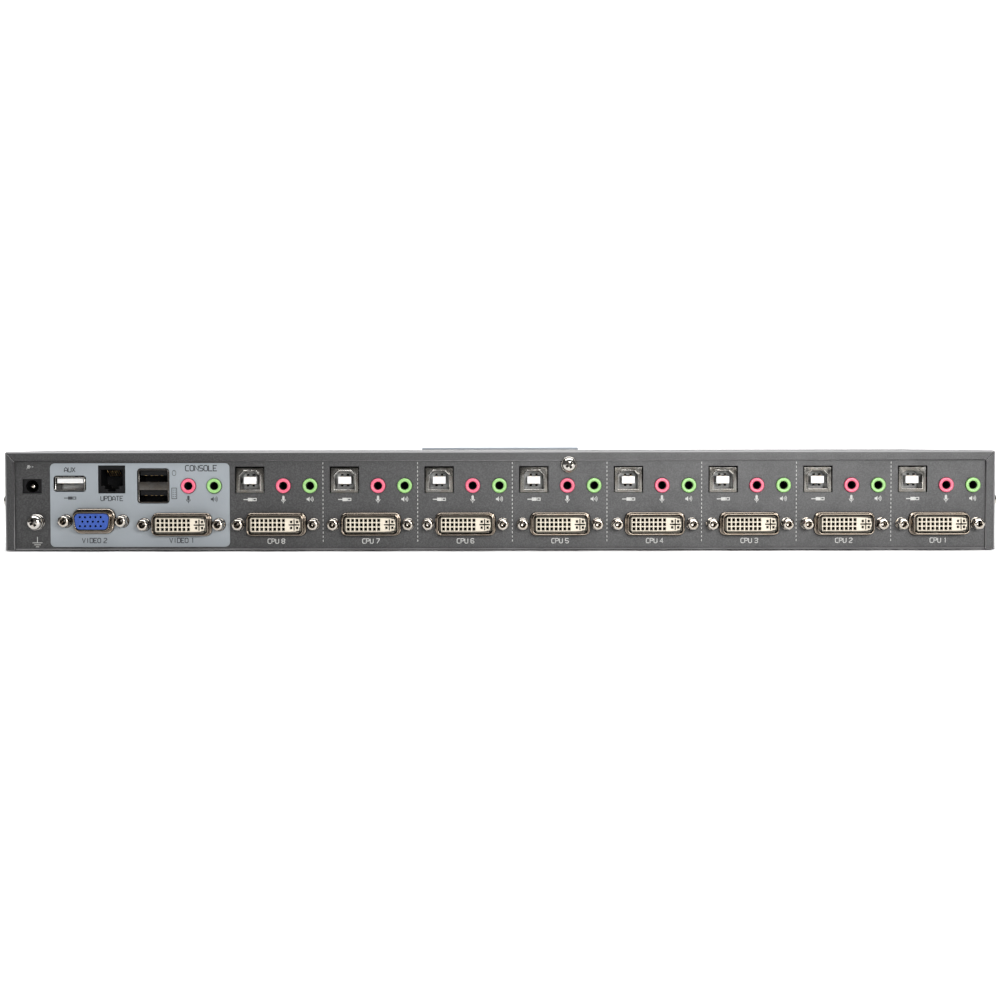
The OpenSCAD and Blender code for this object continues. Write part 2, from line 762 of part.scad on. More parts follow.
module usb_b_tongues() {
    color([0.95, 0.95, 0.95]) for (k = [1:port_count]) {
        at(edge_x(k) - usb_b_dx, usb_b_z) {
            y_box([usb_b_box[0] - 1.1, usb_b_box[1] - 1.1], panel_in_y - 13, panel_y - 10.1);
            y_box([5.7, 3.2], panel_y - 10.1, panel_y - 0.9);
        }
    }
}

// Audio jack: square body behind the panel, round nose through it, one blind bore
module audio_jack(x) {
    at(x, audio_z) difference() {
        union() {
            y_box(jack_body, panel_in_y - 14, panel_in_y - 0.2);
            y_rod(jack_r, panel_in_y - 1, rear_y - 0.3);
            translate([0, rear_y - 0.3, 0]) rotate([-90, 0, 0])
                cylinder(r1 = jack_r, r2 = jack_r - 0.3, h = 0.3);
        }
        y_rod(jack_bore_r, rear_y - jack_bore_depth, rear_y + 1);
    }
}

module mic_jacks() {
    color([0.95, 0.45, 0.55]) {
        for (k = [1:port_count]) audio_jack(edge_x(k) - mic_dx);
        audio_jack(console_mic_x);
    }
}

module speaker_jacks() {
    color([0.65, 0.85, 0.55]) {
        for (k = [1:port_count]) audio_jack(edge_x(k) - speaker_dx);
        audio_jack(console_speaker_x);
    }
}

module device_usb_shell() {
    at(device_usb_x, device_usb_z) color([0.75, 0.74, 0.72]) difference() {
        y_box(usb_a_box, panel_in_y - 13, panel_y + 0.1);
        y_box(usb_a_hole, panel_in_y - 12, panel_y + 1);
    }
}

module device_usb_tongue() {
    half_w = usb_a_hole[0] / 2;
    color([0.95, 0.95, 0.95]) at(device_usb_x, device_usb_z) {
        box([-half_w, panel_in_y - 12, -usb_a_hole[1] / 2], [half_w, panel_in_y - 10, usb_a_hole[1] / 2]);
        box([0.4 - half_w, panel_in_y - 10, 0.2], [half_w - 0.4, panel_y - 0.7, 2.3]);
    }
}

module usb_stack_shell() {
    at(stack_x, stack_z) color([0.7, 0.69, 0.67]) difference() {
        y_prism(round_rect(stack_box[0], stack_box[1], 1.2), panel_in_y - 15, panel_y + 0.1);
        for (s = [-1, 1]) at(0, s * stack_hole_dz) y_box(usb_a_hole, panel_in_y - 14, panel_y + 1);
    }
}

module usb_stack_tongues() {
    half_w = usb_a_hole[0] / 2;
    color([0.08, 0.08, 0.08]) at(stack_x, stack_z) for (s = [-1, 1]) at(0, s * stack_hole_dz) {
        box([-half_w, panel_in_y - 14, -usb_a_hole[1] / 2], [half_w, panel_in_y - 12, usb_a_hole[1] / 2]);
        box([0.4 - half_w, panel_in_y - 12, 0.2], [half_w - 0.4, panel_y - 0.7, 2.2]);
    }
}

// Modular socket: wide mouth with a latch slot below it
module service_jack() {
    at(service_x, service_z) color([0.1, 0.1, 0.11]) difference() {
        y_box(service_box, panel_in_y - 14, panel_y + 0.1);
        box([-4.85, panel_in_y - 12, -2.9], [4.85, panel_y + 1, 4.3]);
        box([-3.1, panel_in_y - 12, -4.3], [3.1, panel_y + 1, -2.8]);
        box([-1.7, panel_in_y - 12, -5.4], [1.7, panel_y + 1, -4.2]);
    }
}

module dc_jack() {
    at(dc_x, dc_z) color([0.08, 0.08, 0.08]) difference() {
        union() {
            y_box(dc_box, panel_in_y - 2, panel_y - 0.2);
            y_box([9, dc_box[1]], panel_in_y - 13, panel_in_y - 0.1);
        }
        y_rod(dc_bore_r, panel_in_y - 10, panel_y + 1);
    }
}

module dc_jack_pin() {
    at(dc_x, dc_z) color([0.8, 0.78, 0.74]) y_rod(1.05, panel_in_y - 10, panel_y - 1.4);
}

// ---------- Fasteners ----------

// Cover screws on both sides and at the rear, and the bezel's screws inside the tray
module case_screws() {
    color([0.72, 0.71, 0.68]) {
        for (s = [-1, 1]) {
            for (y = side_screw_y) {
                translate([s * case_w / 2, y, side_screw_z]) rotate([0, 90 * s, 0])
                    pan_screw_z(screw_head_r, 1.9, screw_shank_r, 5);
            }
        }
        translate([rear_screw_x, rear_y, rear_screw_z]) rotate([-90, 0, 0]) {
            difference() {
                cylinder(r = 3.5, h = 0.8);
                translate([0, 0, -1]) cylinder(r = 1.5, h = 3);
            }
            translate([0, 0, 0.8]) pan_screw_z(3.05, 2.4, screw_shank_r, 5.8);
        }
        for (x = bezel_boss_x) {
            translate([x, bezel_back_y + sheet_t, bezel_boss_z]) rotate([-90, 0, 0])
                pan_screw_z(screw_head_r, 1.9, 1.4, 6);
        }
    }
}

// Earth screw with a washer, a spring washer and a second washer under its head
module ground_screw() {
    color([0.8, 0.78, 0.74]) translate([ground_x, panel_y, ground_z]) rotate([-90, 0, 0]) {
        cylinder(r = 3.4, h = 0.8);
        translate([0, 0, 0.8]) cylinder(r = 2.6, h = 0.5);
        translate([0, 0, 1.3]) cylinder(r = 3.1, h = 0.9);
        translate([0, 0, 2.2]) cylinder(r = 2.2, h = 1);
        translate([0, 0, 3.2]) cylinder(r = 3.4, h = 0.7);
        translate([0, 0, 3.9]) pan_screw_z(3.1, 2.5, 1.45, 9);
    }
}

// ---------- Assembly ----------

chassis_tray();
top_cover();
front_bezel();
button_housing();
console_plate();
main_board();
upper_board();
front_board();
board_standoffs();
board_screws();
ribbon_cable();
switch_chips();
heatsinks();
capacitors();
tact_switches();
indicator_leds();
light_guides();
usb_b_shells();
usb_b_tongues();
mic_jacks();
speaker_jacks();
vga_shell();
vga_insert();
jackscrews();
usb_stack_shell();
usb_stack_tongues();
device_usb_shell();
device_usb_tongue();
service_jack();
dc_jack();
dc_jack_pin();
case_screws();
ground_screw();
reset_button();
dvi_shell_at(console_dvi_x);  // console_dvi_shell
dvi_insert_at(console_dvi_x);  // console_dvi_insert
for (k = [1:port_count]) {
    port_button(k);
    dvi_shell_at(dvi_x(k));
    dvi_insert_at(dvi_x(k));
}
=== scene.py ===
"""Looks of a rack-width KVM switch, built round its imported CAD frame.

Metres, +Z up. The connectors face +Y, the buttons face -Y, and +X is the console's side.
Pieces are drawn in millimetres, at the place where they sit, and show() scales them to metres.
"""

import json
import math

import bmesh
import bpy
from mathutils import Matrix, Vector


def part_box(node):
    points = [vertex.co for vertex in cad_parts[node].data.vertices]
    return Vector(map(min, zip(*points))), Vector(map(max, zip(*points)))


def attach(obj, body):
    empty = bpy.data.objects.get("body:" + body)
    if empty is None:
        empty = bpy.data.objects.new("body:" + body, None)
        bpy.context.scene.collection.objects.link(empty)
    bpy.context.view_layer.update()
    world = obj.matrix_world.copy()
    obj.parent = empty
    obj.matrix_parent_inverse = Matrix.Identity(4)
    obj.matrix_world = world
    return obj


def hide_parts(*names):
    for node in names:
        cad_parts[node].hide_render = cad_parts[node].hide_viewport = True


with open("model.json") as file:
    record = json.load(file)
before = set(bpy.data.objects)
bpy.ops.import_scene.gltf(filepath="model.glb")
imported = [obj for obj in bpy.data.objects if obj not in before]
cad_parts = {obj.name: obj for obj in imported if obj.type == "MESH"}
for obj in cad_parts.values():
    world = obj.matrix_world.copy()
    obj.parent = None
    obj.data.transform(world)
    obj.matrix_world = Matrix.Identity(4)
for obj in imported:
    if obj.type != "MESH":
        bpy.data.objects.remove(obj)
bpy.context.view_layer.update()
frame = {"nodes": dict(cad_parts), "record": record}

PORTS = range(1, 9)
CASE = "case"


# ---------- Places, in millimetres, all taken from the frame ----------


def box_mm(node):
    low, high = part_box(node)
    return low * 1000, high * 1000


def middle(node):
    low, high = box_mm(node)
    return (low + high) / 2


MOUNT = {m["name"]: Vector(m["pos_m"]) * 1000 for m in frame["record"]["mounts"]}
PANEL_Y = MOUNT["computer_usb_1"].y
REAR_Y = MOUNT["computer_mic_1"].y
PLATE_Y = box_mm("console_plate")[1].y
HOUSING_Y = box_mm("button_housing")[0].y
CASE_W = 2 * box_mm("top_cover")[1].x
CASE_H = box_mm("top_cover")[1].z
NUT_HEIGHT = MOUNT["computer_video_1"].y - PANEL_Y


# ---------- Mesh helpers ----------


def at(x, y, z):
    return Matrix.Translation((x, y, z))


def about(axis, degrees):
    return Matrix.Rotation(math.radians(degrees), 4, axis)


def gather(*placed):
    """One mesh from (mesh, place) pairs; the parts are used up."""
    total = bmesh.new()
    for part, place in placed:
        scratch = bpy.data.meshes.new("scratch")
        part.transform(place)
        part.to_mesh(scratch)
        total.from_mesh(scratch)
        bpy.data.meshes.remove(scratch)
        part.free()
    return total


def repeat(draw, places):
    """One mesh holding a fresh draw() at each place."""
    return gather(*[(draw(), place) for place in places])


def lathe(stations, sides=32):
    """Closed solid of revolution about Y, from (y, radius) stations.

    A radius may be a function of the angle and y. Stations may run back inside to leave a bore.
    """
    bm = bmesh.new()
    rings = []
    for y, radius in stations:
        ring = []
        for i in range(sides):
            a = 2 * math.pi * i / sides
            r = radius(a, y) if callable(radius) else radius
            ring.append(bm.verts.new((r * math.cos(a), y, r * math.sin(a))))
        rings.append(ring)
    for near, far in zip(rings, rings[1:]):
        for i in range(sides):
            j = (i + 1) % sides
            bm.faces.new((near[i], near[j], far[j], far[i]))
    bm.faces.new(rings[0])
    bm.faces.new(rings[-1])
    bmesh.ops.recalc_face_normals(bm, faces=bm.faces)
    return bm


def prism(outline, y0, y1):
    """Closed prism along Y from an outline of (x, z) points."""
    bm = bmesh.new()
    near = [bm.verts.new((x, y0, z)) for x, z in outline]
    far = [bm.verts.new((x, y1, z)) for x, z in outline]
    count = len(outline)
    for i in range(count):
        j = (i + 1) % count
        bm.faces.new((near[i], near[j], far[j], far[i]))
    bm.faces.new(near)
    bm.faces.new(far)
    bmesh.ops.recalc_face_normals(bm, faces=bm.faces)
    return bm


def block(low, high):
    """Closed box between two corners."""
    outline = [(low[0], low[2]), (high[0], low[2]), (high[0], high[2]), (low[0], high[2])]
    return prism(outline, low[1], high[1])


def circle(x, z, r, sides=24):
    """Outline of a circle, as (x, z) points."""
    turn = 2 * math.pi / sides
    return [(x + r * math.cos(i * turn), z + r * math.sin(i * turn)) for i in range(sides)]


def arc(x, z, r, a0, a1, steps=8):
    """Points of an arc, angles in degrees."""
    angles = [math.radians(a0 + (a1 - a0) * i / steps) for i in range(steps + 1)]
    return [(x + r * math.cos(a), z + r * math.sin(a)) for a in angles]


def stroke(points, width, depth, closed=False):
    """A flat band along (x, z) points with mitred corners, from y = 0 to y = -depth."""
    count = len(points)
    bm = bmesh.new()
    stations = []
    for i, p in enumerate(points):
        before = points[i - 1] if closed or i > 0 else None
        after = points[(i + 1) % count] if closed or i < count - 1 else None
        p = Vector(p)
        ways = [(Vector(q) - p).normalized() * s for q, s in ((before, -1), (after, 1)) if q]
        along = sum(ways, Vector((0, 0))).normalized()
        across = Vector((-along.y, along.x))
        reach = width / 2 / max(0.5, abs(along.dot(ways[0])))
        corners = [(p + across * reach, 0), (p - across * reach, 0)]
        corners += [(p - across * reach, -depth), (p + across * reach, -depth)]
        stations.append([bm.verts.new((c.x, y, c.y)) for c, y in corners])
    pairs = list(zip(stations, stations[1:]))
    if closed:
        pairs.append((stations[-1], stations[0]))
    else:
        bm.faces.new(stations[0])
        bm.faces.new(stations[-1])
    for a, b in pairs:
        for i in range(4):
            j = (i + 1) % 4
            bm.faces.new((a[i], a[j], b[j], b[i]))
    bmesh.ops.recalc_face_normals(bm, faces=bm.faces)
    return bm


def cut(bm, tools):
    """bm with each tool mesh taken away from it."""
    made = []
    for part in (bm, *tools):
        mesh = bpy.data.meshes.new("cut")
        part.to_mesh(mesh)
        part.free()
        made.append(bpy.data.objects.new("cut", mesh))
        bpy.context.collection.objects.link(made[-1])
    for tool in made[1:]:
        step = made[0].modifiers.new("cut", "BOOLEAN")
        step.operation = "DIFFERENCE"
        step.solver = "EXACT"
        step.object = tool
    bpy.context.view_layer.update()
    result = bmesh.new()
    result.from_object(made[0], bpy.context.evaluated_depsgraph_get())
    for obj in made:
        mesh = obj.data
        bpy.data.objects.remove(obj)
        bpy.data.meshes.remove(mesh)
    return result


def show(name, bm, material, slot, body=CASE, bevel=0, segments=2, angle=30, replaces=()):
    """Puts a mesh drawn in millimetres into the scene, with its edges rounded by bevel millimetres."""
    mesh = bpy.data.meshes.new(name)
    bm.to_mesh(mesh)
    bm.free()
    obj = bpy.data.objects.new(name, mesh)
    bpy.context.collection.objects.link(obj)
    if bevel:
        step = obj.modifiers.new("round", "BEVEL")
        step.width = bevel
        step.segments = segments
        step.limit_method = "ANGLE"
        step.angle_limit = math.radians(angle)
        step.use_clamp_overlap = False
        step.miter_outer = "MITER_ARC"
    bpy.context.view_layer.update()
    final = bpy.data.meshes.new_from_object(obj.evaluated_get(bpy.context.evaluated_depsgraph_get()))
    obj.modifiers.clear()
    obj.data = final
    bpy.data.meshes.remove(mesh)
    final.name = name
    final.shade_smooth()
    final.set_sharp_from_angle(angle=math.radians(angle))
    obj.modifiers.new("even", "WEIGHTED_NORMAL").keep_sharp = True
    final.transform(Matrix.Scale(0.001, 4))
    final.materials.clear()
    final.materials.append(material)
    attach(obj, body)
    if replaces:
        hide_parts(*replaces)
    return obj


def cad_mesh(node):
    """A CAD node's mesh in millimetres, welded."""
    bm = bmesh.new()
    bm.from_mesh(frame["nodes"][node].data)
    bm.transform(Matrix.Scale(1000, 4))
    bmesh.ops.remove_doubles(bm, verts=bm.verts, dist=0.0005)
    return bm


def soften(bm, chosen, width, segments=3):
    """Rounds the sharp edges whose two ends both satisfy chosen(point)."""
    sharp = [
        e for e in bm.edges
        if e.calc_face_angle(0) > math.radians(50) and all(chosen(v.co) for v in e.verts)
    ]
    bmesh.ops.bevel(
        bm,
        geom=sharp,
        offset=width,
        offset_type="OFFSET",
        segments=segments,
        profile=0.5,
        affect="EDGES",
    )


def make_whole(bm, chosen):
    """Joins the triangles of a flat face without holes whose corners all satisfy chosen(point)."""
    inner = [e for e in bm.edges if e.calc_face_angle(1) < 0.01 and all(chosen(v.co) for v in e.verts)]
    bmesh.ops.dissolve_edges(bm, edges=inner, use_verts=False)


def rounded(node, material, slot, bevel, body=CASE, segments=2, angle=30, softer=(), whole=None):
    """A CAD node shown with its edges rounded, some of them more: softer lists soften()'s arguments."""
    bm = cad_mesh(node)
    if whole:
        make_whole(bm, whole)
    for how in softer:
        soften(bm, *how)
    return show(node + "_shape", bm, material, slot, body, bevel, segments, angle, (node,))


# ---------- Materials ----------


class Graph:
    """A material's node tree, with short calls for the nodes that these materials use."""

    def __init__(self, name):
        self.material = bpy.data.materials.new(name)
        self.material.use_nodes = True
        self.tree = self.material.node_tree
        self.surface = self.tree.nodes["Principled BSDF"]
        spots = self.tree.nodes.new("ShaderNodeTexCoord")
        self.coords = spots.outputs["Object"]
        self.normals = spots.outputs["Normal"]

    def link(self, value, socket):
        if isinstance(value, bpy.types.NodeSocket):
            self.tree.links.new(value, socket)
        else:
            socket.default_value = value

    def scaled(self, stretch):
        node = self.tree.nodes.new("ShaderNodeMapping")
        node.inputs["Scale"].default_value = stretch
        self.tree.links.new(self.coords, node.inputs["Vector"])
        return node.outputs["Vector"]

    def vector(self, operation, a, b):
        node = self.tree.nodes.new("ShaderNodeVectorMath")
        node.operation = operation
        self.tree.links.new(a, node.inputs[0])
        self.tree.links.new(b, node.inputs[1])
        return node.outputs["Value" if operation == "DOT_PRODUCT" else "Vector"]

    def noise(self, size_mm, detail=3, stretch=(1, 1, 1)):
        """Noise from 0 to 1 whose blotches are about size_mm across."""
        node = self.tree.nodes.new("ShaderNodeTexNoise")
        node.inputs["Scale"].default_value = 1000 / size_mm
        node.inputs["Detail"].default_value = detail
        self.tree.links.new(self.scaled(stretch), node.inputs["Vector"])
        return node.outputs["Fac"]

    def span(self, value, low, high, from_low=0.3, from_high=0.7):
        node = self.tree.nodes.new("ShaderNodeMapRange")
        node.inputs["From Min"].default_value = from_low
        node.inputs["From Max"].default_value = from_high
        node.inputs["To Min"].default_value = low
        node.inputs["To Max"].default_value = high
        self.tree.links.new(value, node.inputs["Value"])
        return node.outputs["Result"]

    def mix(self, factor, a, b):
        node = self.tree.nodes.new("ShaderNodeMix")
        node.data_type = "RGBA"
        self.link(factor, node.inputs[0])
        self.link(a, node.inputs[6])
        self.link(b, node.inputs[7])
        return node.outputs[2]

    def occlusion(self, reach_mm, inside=False):
        node = self.tree.nodes.new("ShaderNodeAmbientOcclusion")
        node.samples = 6
        node.inside = inside
        node.only_local = inside
        node.inputs["Distance"].default_value = reach_mm / 1000
        return node.outputs["AO"]

    def edges(self, reach_mm):
        """1 along outer edges and 0 on flat faces."""
        return self.span(self.occlusion(reach_mm, inside=True), 1, 0, 0.55, 0.95)

    def bends(self):
        """1 where a surface turns from one axis towards another, 0 on faces square to an axis."""
        squares = self.vector("MULTIPLY", self.normals, self.normals)
        return self.span(self.vector("DOT_PRODUCT", squares, squares), 1, 0, 0.5, 0.9)

    def crevices(self, reach_mm, darkest):
        """Painted shade: 1 in the open, down to darkest in tight corners, gaps and recesses."""
        return self.span(self.occlusion(reach_mm), darkest, 1, 0.35, 0.9)

    def times(self, colour, factor):
        """A colour dimmed by a factor that varies over the surface."""
        node = self.tree.nodes.new("ShaderNodeMix")
        node.data_type = "RGBA"
        node.blend_type = "MULTIPLY"
        self.link(1.0, node.inputs[0])
        self.link(colour, node.inputs[6])
        self.tree.links.new(factor, node.inputs[7])
        return node.outputs[2]

    def bump(self, height, strength, depth_mm, normal=None):
        node = self.tree.nodes.new("ShaderNodeBump")
        node.inputs["Strength"].default_value = strength
        node.inputs["Distance"].default_value = depth_mm / 1000
        self.tree.links.new(height, node.inputs["Height"])
        if normal is not None:
            self.tree.links.new(normal, node.inputs["Normal"])
        return node.outputs["Normal"]

    def finish(self, colour, roughness, metallic=0.0, normal=None, **more):
        self.link(colour, self.surface.inputs["Base Color"])
        self.link(roughness, self.surface.inputs["Roughness"])
        self.link(metallic, self.surface.inputs["Metallic"])
        if normal is not None:
            self.link(normal, self.surface.inputs["Normal"])
        for key, value in more.items():
            self.link(value, self.surface.inputs[key])
        return self.material


def shade(colour, factor):
    return tuple(min(1, c * factor) for c in colour[:3]) + (1,)


def powder_coat(name, colour, grain_mm):
    """Textured paint: orange peel, fine grain, drifts of tone, a painted highlight on bends and painted
    shade in gaps.
    """
    g = Graph(name)
    drift = g.mix(g.span(g.noise(45), 0, 1), shade(colour, 0.88), shade(colour, 1.12))
    speck = g.mix(g.span(g.noise(grain_mm, 2), 0, 1, 0.4, 0.66), drift, shade(colour, 2.3))
    # painted shade: darker in gaps and round hole edges
    gap_shaded = g.times(speck, g.crevices(1.4, 0.1))
    # painted highlight: the bends turn far paler, for the light that the case's bent edges catch
    tone = g.mix(g.bends(), gap_shaded, shade(colour, 13))
    peel = g.bump(g.noise(1.6, 2), 0.35, 0.06)
    normal = g.bump(g.noise(grain_mm, 2), 0.5, 0.05, peel)
    return g.finish(tone, g.span(g.noise(6), 0.4, 0.48), 0.0, normal, **{"Specular IOR Level": 0.48})


def moulded(name, colour, rough, grain_mm=0.3, grain=0.25, variation=0.06, reach=1, recess_shade=0.3, **more):
    """Moulded plastic: spark-eroded grain, faint flow marks, paler along outer edges and painted shade
    in recesses.
    """
    g = Graph(name)
    flow = g.mix(g.span(g.noise(14), 0, 1), shade(colour, 1 - variation), shade(colour, 1 + variation))
    # paler along the outer edges
    pale_edged = g.mix(g.edges(0.2), flow, shade(colour, 1.15))
    # painted shade in recesses
    tone = g.times(pale_edged, g.crevices(reach, recess_shade))
    normal = g.bump(g.noise(grain_mm, 2), grain, 0.03)
    return g.finish(tone, g.span(g.noise(4), rough - 0.05, rough + 0.06), 0.0, normal, **more)


def pierced(name, colour, rough):
    """Socket insert: moulded plastic whose bevelled contact mouths lie in shade."""
    g = Graph(name)
    flow = g.mix(g.span(g.noise(9), 0, 1), shade(colour, 0.94), shade(colour, 1.05))
    shaded = g.times(flow, g.crevices(0.6, 0.15))
    tone = g.mix(g.bends(), shaded, shade(colour, 0.03))
    normal = g.bump(g.noise(0.3, 2), 0.15, 0.03)
    return g.finish(tone, g.span(g.noise(4), rough - 0.05, rough + 0.06), 0.0, normal)


def plated(name, colour, rough, smudge=0.12, stretch=(1, 1, 1), grain=0.12, hollow_shade=0.12, edge_highlight=1):
    """Plated or bare metal: drawing marks, smudges, warm tarnish, painted shade in corners and a
    painted highlight on bends.
    """
    g = Graph(name)
    tarnish = (colour[0] * 0.72, colour[1] * 0.64, colour[2] * 0.54, 1)
    tone = g.mix(g.span(g.noise(3), 0, 0.8), shade(colour, 1), tarnish)
    # painted highlight: bends made more reflective, for the bright crescents along shell edges
    highlit = g.mix(g.bends(), tone, shade(colour, edge_highlight))
    # painted shade in corners and recesses
    shaded_metal = g.times(highlit, g.crevices(1.6, hollow_shade))
    smudges = g.span(g.noise(1.6, 4), rough - smudge * 0.4, rough + smudge)
    normal = g.bump(g.noise(0.25, 2, stretch), grain, 0.01)
    return g.finish(shaded_metal, smudges, 1.0, normal)


def solder_mask(name, colour, copper):
    """Circuit board: green lacquer over slightly raised, paler tracks."""
    g = Graph(name)
    tracks = g.span(g.noise(2.2, 0, (1, 0.25, 1)), 0, 1, 0.48, 0.52)
    tone = g.mix(tracks, colour, copper)
    return g.finish(tone, g.span(g.noise(5), 0.28, 0.4), 0.0, g.bump(tracks, 0.3, 0.03))


def printed(name, colour):
    """Screen-printed ink, a little uneven."""
    g = Graph(name)
    tone = g.mix(g.span(g.noise(0.6), 0, 1), shade(colour, 0.8), shade(colour, 1))
    return g.finish(tone, g.span(g.noise(0.8), 0.45, 0.6), 0.0, g.bump(g.noise(0.3), 0.2, 0.01))


def clear(name, colour):
    """Light guide: milky clear plastic."""
    g = Graph(name)
    tone = g.mix(g.span(g.noise(2), 0, 1), shade(colour, 0.92), shade(colour, 1))
    rough = g.span(g.noise(1), 0.12, 0.22)
    return g.finish(tone, rough, 0.0, g.bump(g.noise(0.5), 0.1, 0.01), **{"Transmission Weight": 0.5})


PAINT = powder_coat("powder_coat_grey", (0.0195, 0.0192, 0.0195), 0.55)
BEZEL = moulded("bezel_black", (0.045, 0.045, 0.048), 0.55, 0.5, 0.35)
HOUSING = moulded("housing_blue_grey", (0.30, 0.33, 0.37), 0.42, 0.4, 0.2)
FILM = moulded("plate_film", (0.235, 0.257, 0.276), 0.4, 0.25, 0.12, 0.03)
BOARD = solder_mask("solder_mask", (0.012, 0.09, 0.035, 1), (0.03, 0.17, 0.06, 1))
BRASS = plated("brass", (0.78, 0.58, 0.28), 0.28)
STEEL = plated("screw_nickel", (0.52, 0.50, 0.47), 0.1, 0.06, hollow_shade=0.03)
DRAWN = {"stretch": (1, 0.2, 1), "grain": 0.15}
# Painted shade: the shell metals get dark base colours that stand for the dim room they reflect; the
# stack's shell is a darker copy of the same tin.
SHELL = plated("usb_shell_tin", (0.14, 0.137, 0.13), 0.12, 0.06, hollow_shade=0.1, edge_highlight=5.5, **DRAWN)
SHADED_SHELL = plated("stack_shell_tin", (0.11, 0.105, 0.1), 0.16, 0.06, hollow_shade=0.1, **DRAWN)
NICKEL = plated("video_shell_nickel", (0.18, 0.155, 0.13), 0.12, 0.08, hollow_shade=0.06, edge_highlight=2.6, **DRAWN)
NUT = plated("nut_nickel", (0.50, 0.465, 0.42), 0.1, 0.06, hollow_shade=0.06)
GOLD = plated("contact_gold", (0.85, 0.62, 0.3), 0.32, hollow_shade=0.6)
# Painted shade: contacts coloured near black, as bronze lying in shadow deep in their holes.
CONTACT = plated("contact_in_painted_shade", (0.02, 0.014, 0.01), 0.5)
RIBBON = moulded("ribbon_grey", (0.35, 0.35, 0.36), 0.5)
EPOXY = moulded("chip_epoxy", (0.02, 0.02, 0.022), 0.6, 0.2, 0.4)
HEATSINK = moulded("heatsink_black", (0.03, 0.03, 0.033), 0.42, 0.15, 0.3)
CAN = plated("capacitor_can", (0.55, 0.57, 0.6), 0.35)
BLACK = moulded("black_plastic", (0.003, 0.003, 0.0034), 0.6, 0.3, 0.12, **{"Specular IOR Level": 0.15})
SWITCH = moulded("switch_black", (0.02, 0.02, 0.02), 0.5)
LENS = moulded("led_lens", (0.8, 0.8, 0.68), 0.25, 0.5, 0.05)
GUIDE = clear("light_guide", (0.75, 0.8, 0.78))
WHITE = moulded("white_plastic", (0.72, 0.72, 0.71), 0.35, 0.3, 0.1, 0.03)
PINK = moulded("jack_pink", (0.66, 0.11, 0.18), 0.3, 0.3, 0.1, reach=2, recess_shade=0.1)
GREEN = moulded("jack_green", (0.24, 0.46, 0.15), 0.3, 0.3, 0.1, reach=2, recess_shade=0.1)
CREAM = pierced("insert_cream", (0.58, 0.52, 0.42), 0.5)
BLUE = moulded("insert_blue", (0.018, 0.06, 0.29), 0.35, 0.3, 0.12)
BUTTON = moulded("button_grey", (0.52, 0.54, 0.57), 0.38, 0.35, 0.15)
RESET = moulded("reset_black", (0.03, 0.03, 0.032), 0.4)
INK_LIGHT = printed("ink_white", (0.48, 0.48, 0.46))
INK_DARK = printed("ink_grey", (0.025, 0.028, 0.033))


def dress(nodes, material):
    """Gives CAD nodes that keep their own shape a finished material."""
    for node in nodes:
        obj = frame["nodes"][node]
        obj.data.materials.clear()
        obj.data.materials.append(material)


# ---------- Case ----------


def housing_rim(p):
    """Picks the outer front edges of the button housing, clear of its openings."""
    low, high = box_mm("button_housing")
    near = 0.2
    on_side = p.x < low.x + near or p.x > high.x - near
    return p.y < HOUSING_Y + near and (on_side or p.z < low.z + near or p.z > high.z - near)


def build_case():
    flange_y = box_mm("top_cover")[1].y

    def flange_rim(p):
        return p.y > flange_y - 0.02

    rounded("top_cover", PAINT, "case_paint", 0, angle=20, softer=[(flange_rim, 0.22)])
    rounded("chassis_tray", PAINT, "case_paint", 0, angle=20)
    rounded("front_bezel", BEZEL, "bezel_plastic", 0.5, segments=3)
    rounded("button_housing", HOUSING, "housing_plastic", 0, angle=20, softer=[(housing_rim, 0.5)])
    rounded("console_plate", FILM, "plate_film", 0, angle=20)


def build_inside():
    dress(["main_board", "upper_board", "front_board"], BOARD)
    dress(["board_standoffs"], BRASS)
    dress(["board_screws"], STEEL)
    dress(["ribbon_cable"], RIBBON)
    dress(["switch_chips"], EPOXY)
    dress(["heatsinks"], HEATSINK)
    dress(["capacitors"], CAN)
    dress(["tact_switches"], SWITCH)
    dress(["indicator_leds"], LENS)


# ---------- Screws and nuts ----------


def phillips_head(radius, height, lean=20):
    """Domed pan head with a cross recess; its underside is at y = 0 and it faces +Y."""
    dome = [(0, radius * 0.96), (0.12, radius)]
    steps = 7
    for i in range(steps + 1):
        a = math.radians(90 * i / steps * 0.86)
        dome.append((height * (0.35 + 0.65 * math.sin(a)), radius * (0.3 + 0.7 * math.cos(a))))
    dome.append((height, radius * 0.2))
    wings = []
    for turn in (lean, lean + 90):
        long, wide, deep = radius * 0.72, radius * 0.22, height * 0.85
        wing = block((-long, height - deep, -wide), (long, height + 1, wide))
        for v in wing.verts:
            if v.co.y < height:
                v.co.x *= 0.45
                v.co.z *= 0.6
        wing.transform(about("Y", turn))
        wings.append(wing)
    return cut(lathe(dome, 40), wings)


def threaded_shank(radius, length, pitch):
    """Screw thread from y = 0 back to y = -length."""
    turns = int(length / pitch)
    per_turn = 4

    def crest(a, y):
        return radius * (1 - 0.09 * (1 + math.cos(2 * math.pi * y / pitch + a)))

    stations = [(0.05, radius), (0, radius)]
    stations += [(-pitch * i / per_turn, crest) for i in range(1, turns * per_turn)]
    return lathe(stations + [(-length + 0.3, radius * 0.8), (-length, radius * 0.55)], 20)


def screw(radius, height, shank, length, pitch, lean=20):
    return gather(
        (phillips_head(radius, height, lean), Matrix()),
        (threaded_shank(shank, length, pitch), Matrix()),
    )


def washer(radius, bore, y0, y1):
    soft = 0.12
    stations = [(y0, bore), (y0, radius), (y1 - soft, radius), (y1, radius - soft), (y1, bore)]
    return lathe(stations, 40)


# Middles of the case's screws, as the CAD places them
REAR_SCREW_X, REAR_SCREW_Z = -30.4, 37.8
SIDE_SCREW_Y = (76, 0, -58)
BEZEL_SCREW_X = (-190, -80, 80, 190)
BEZEL_SCREW_Y, BEZEL_SCREW_Z = -69, 9


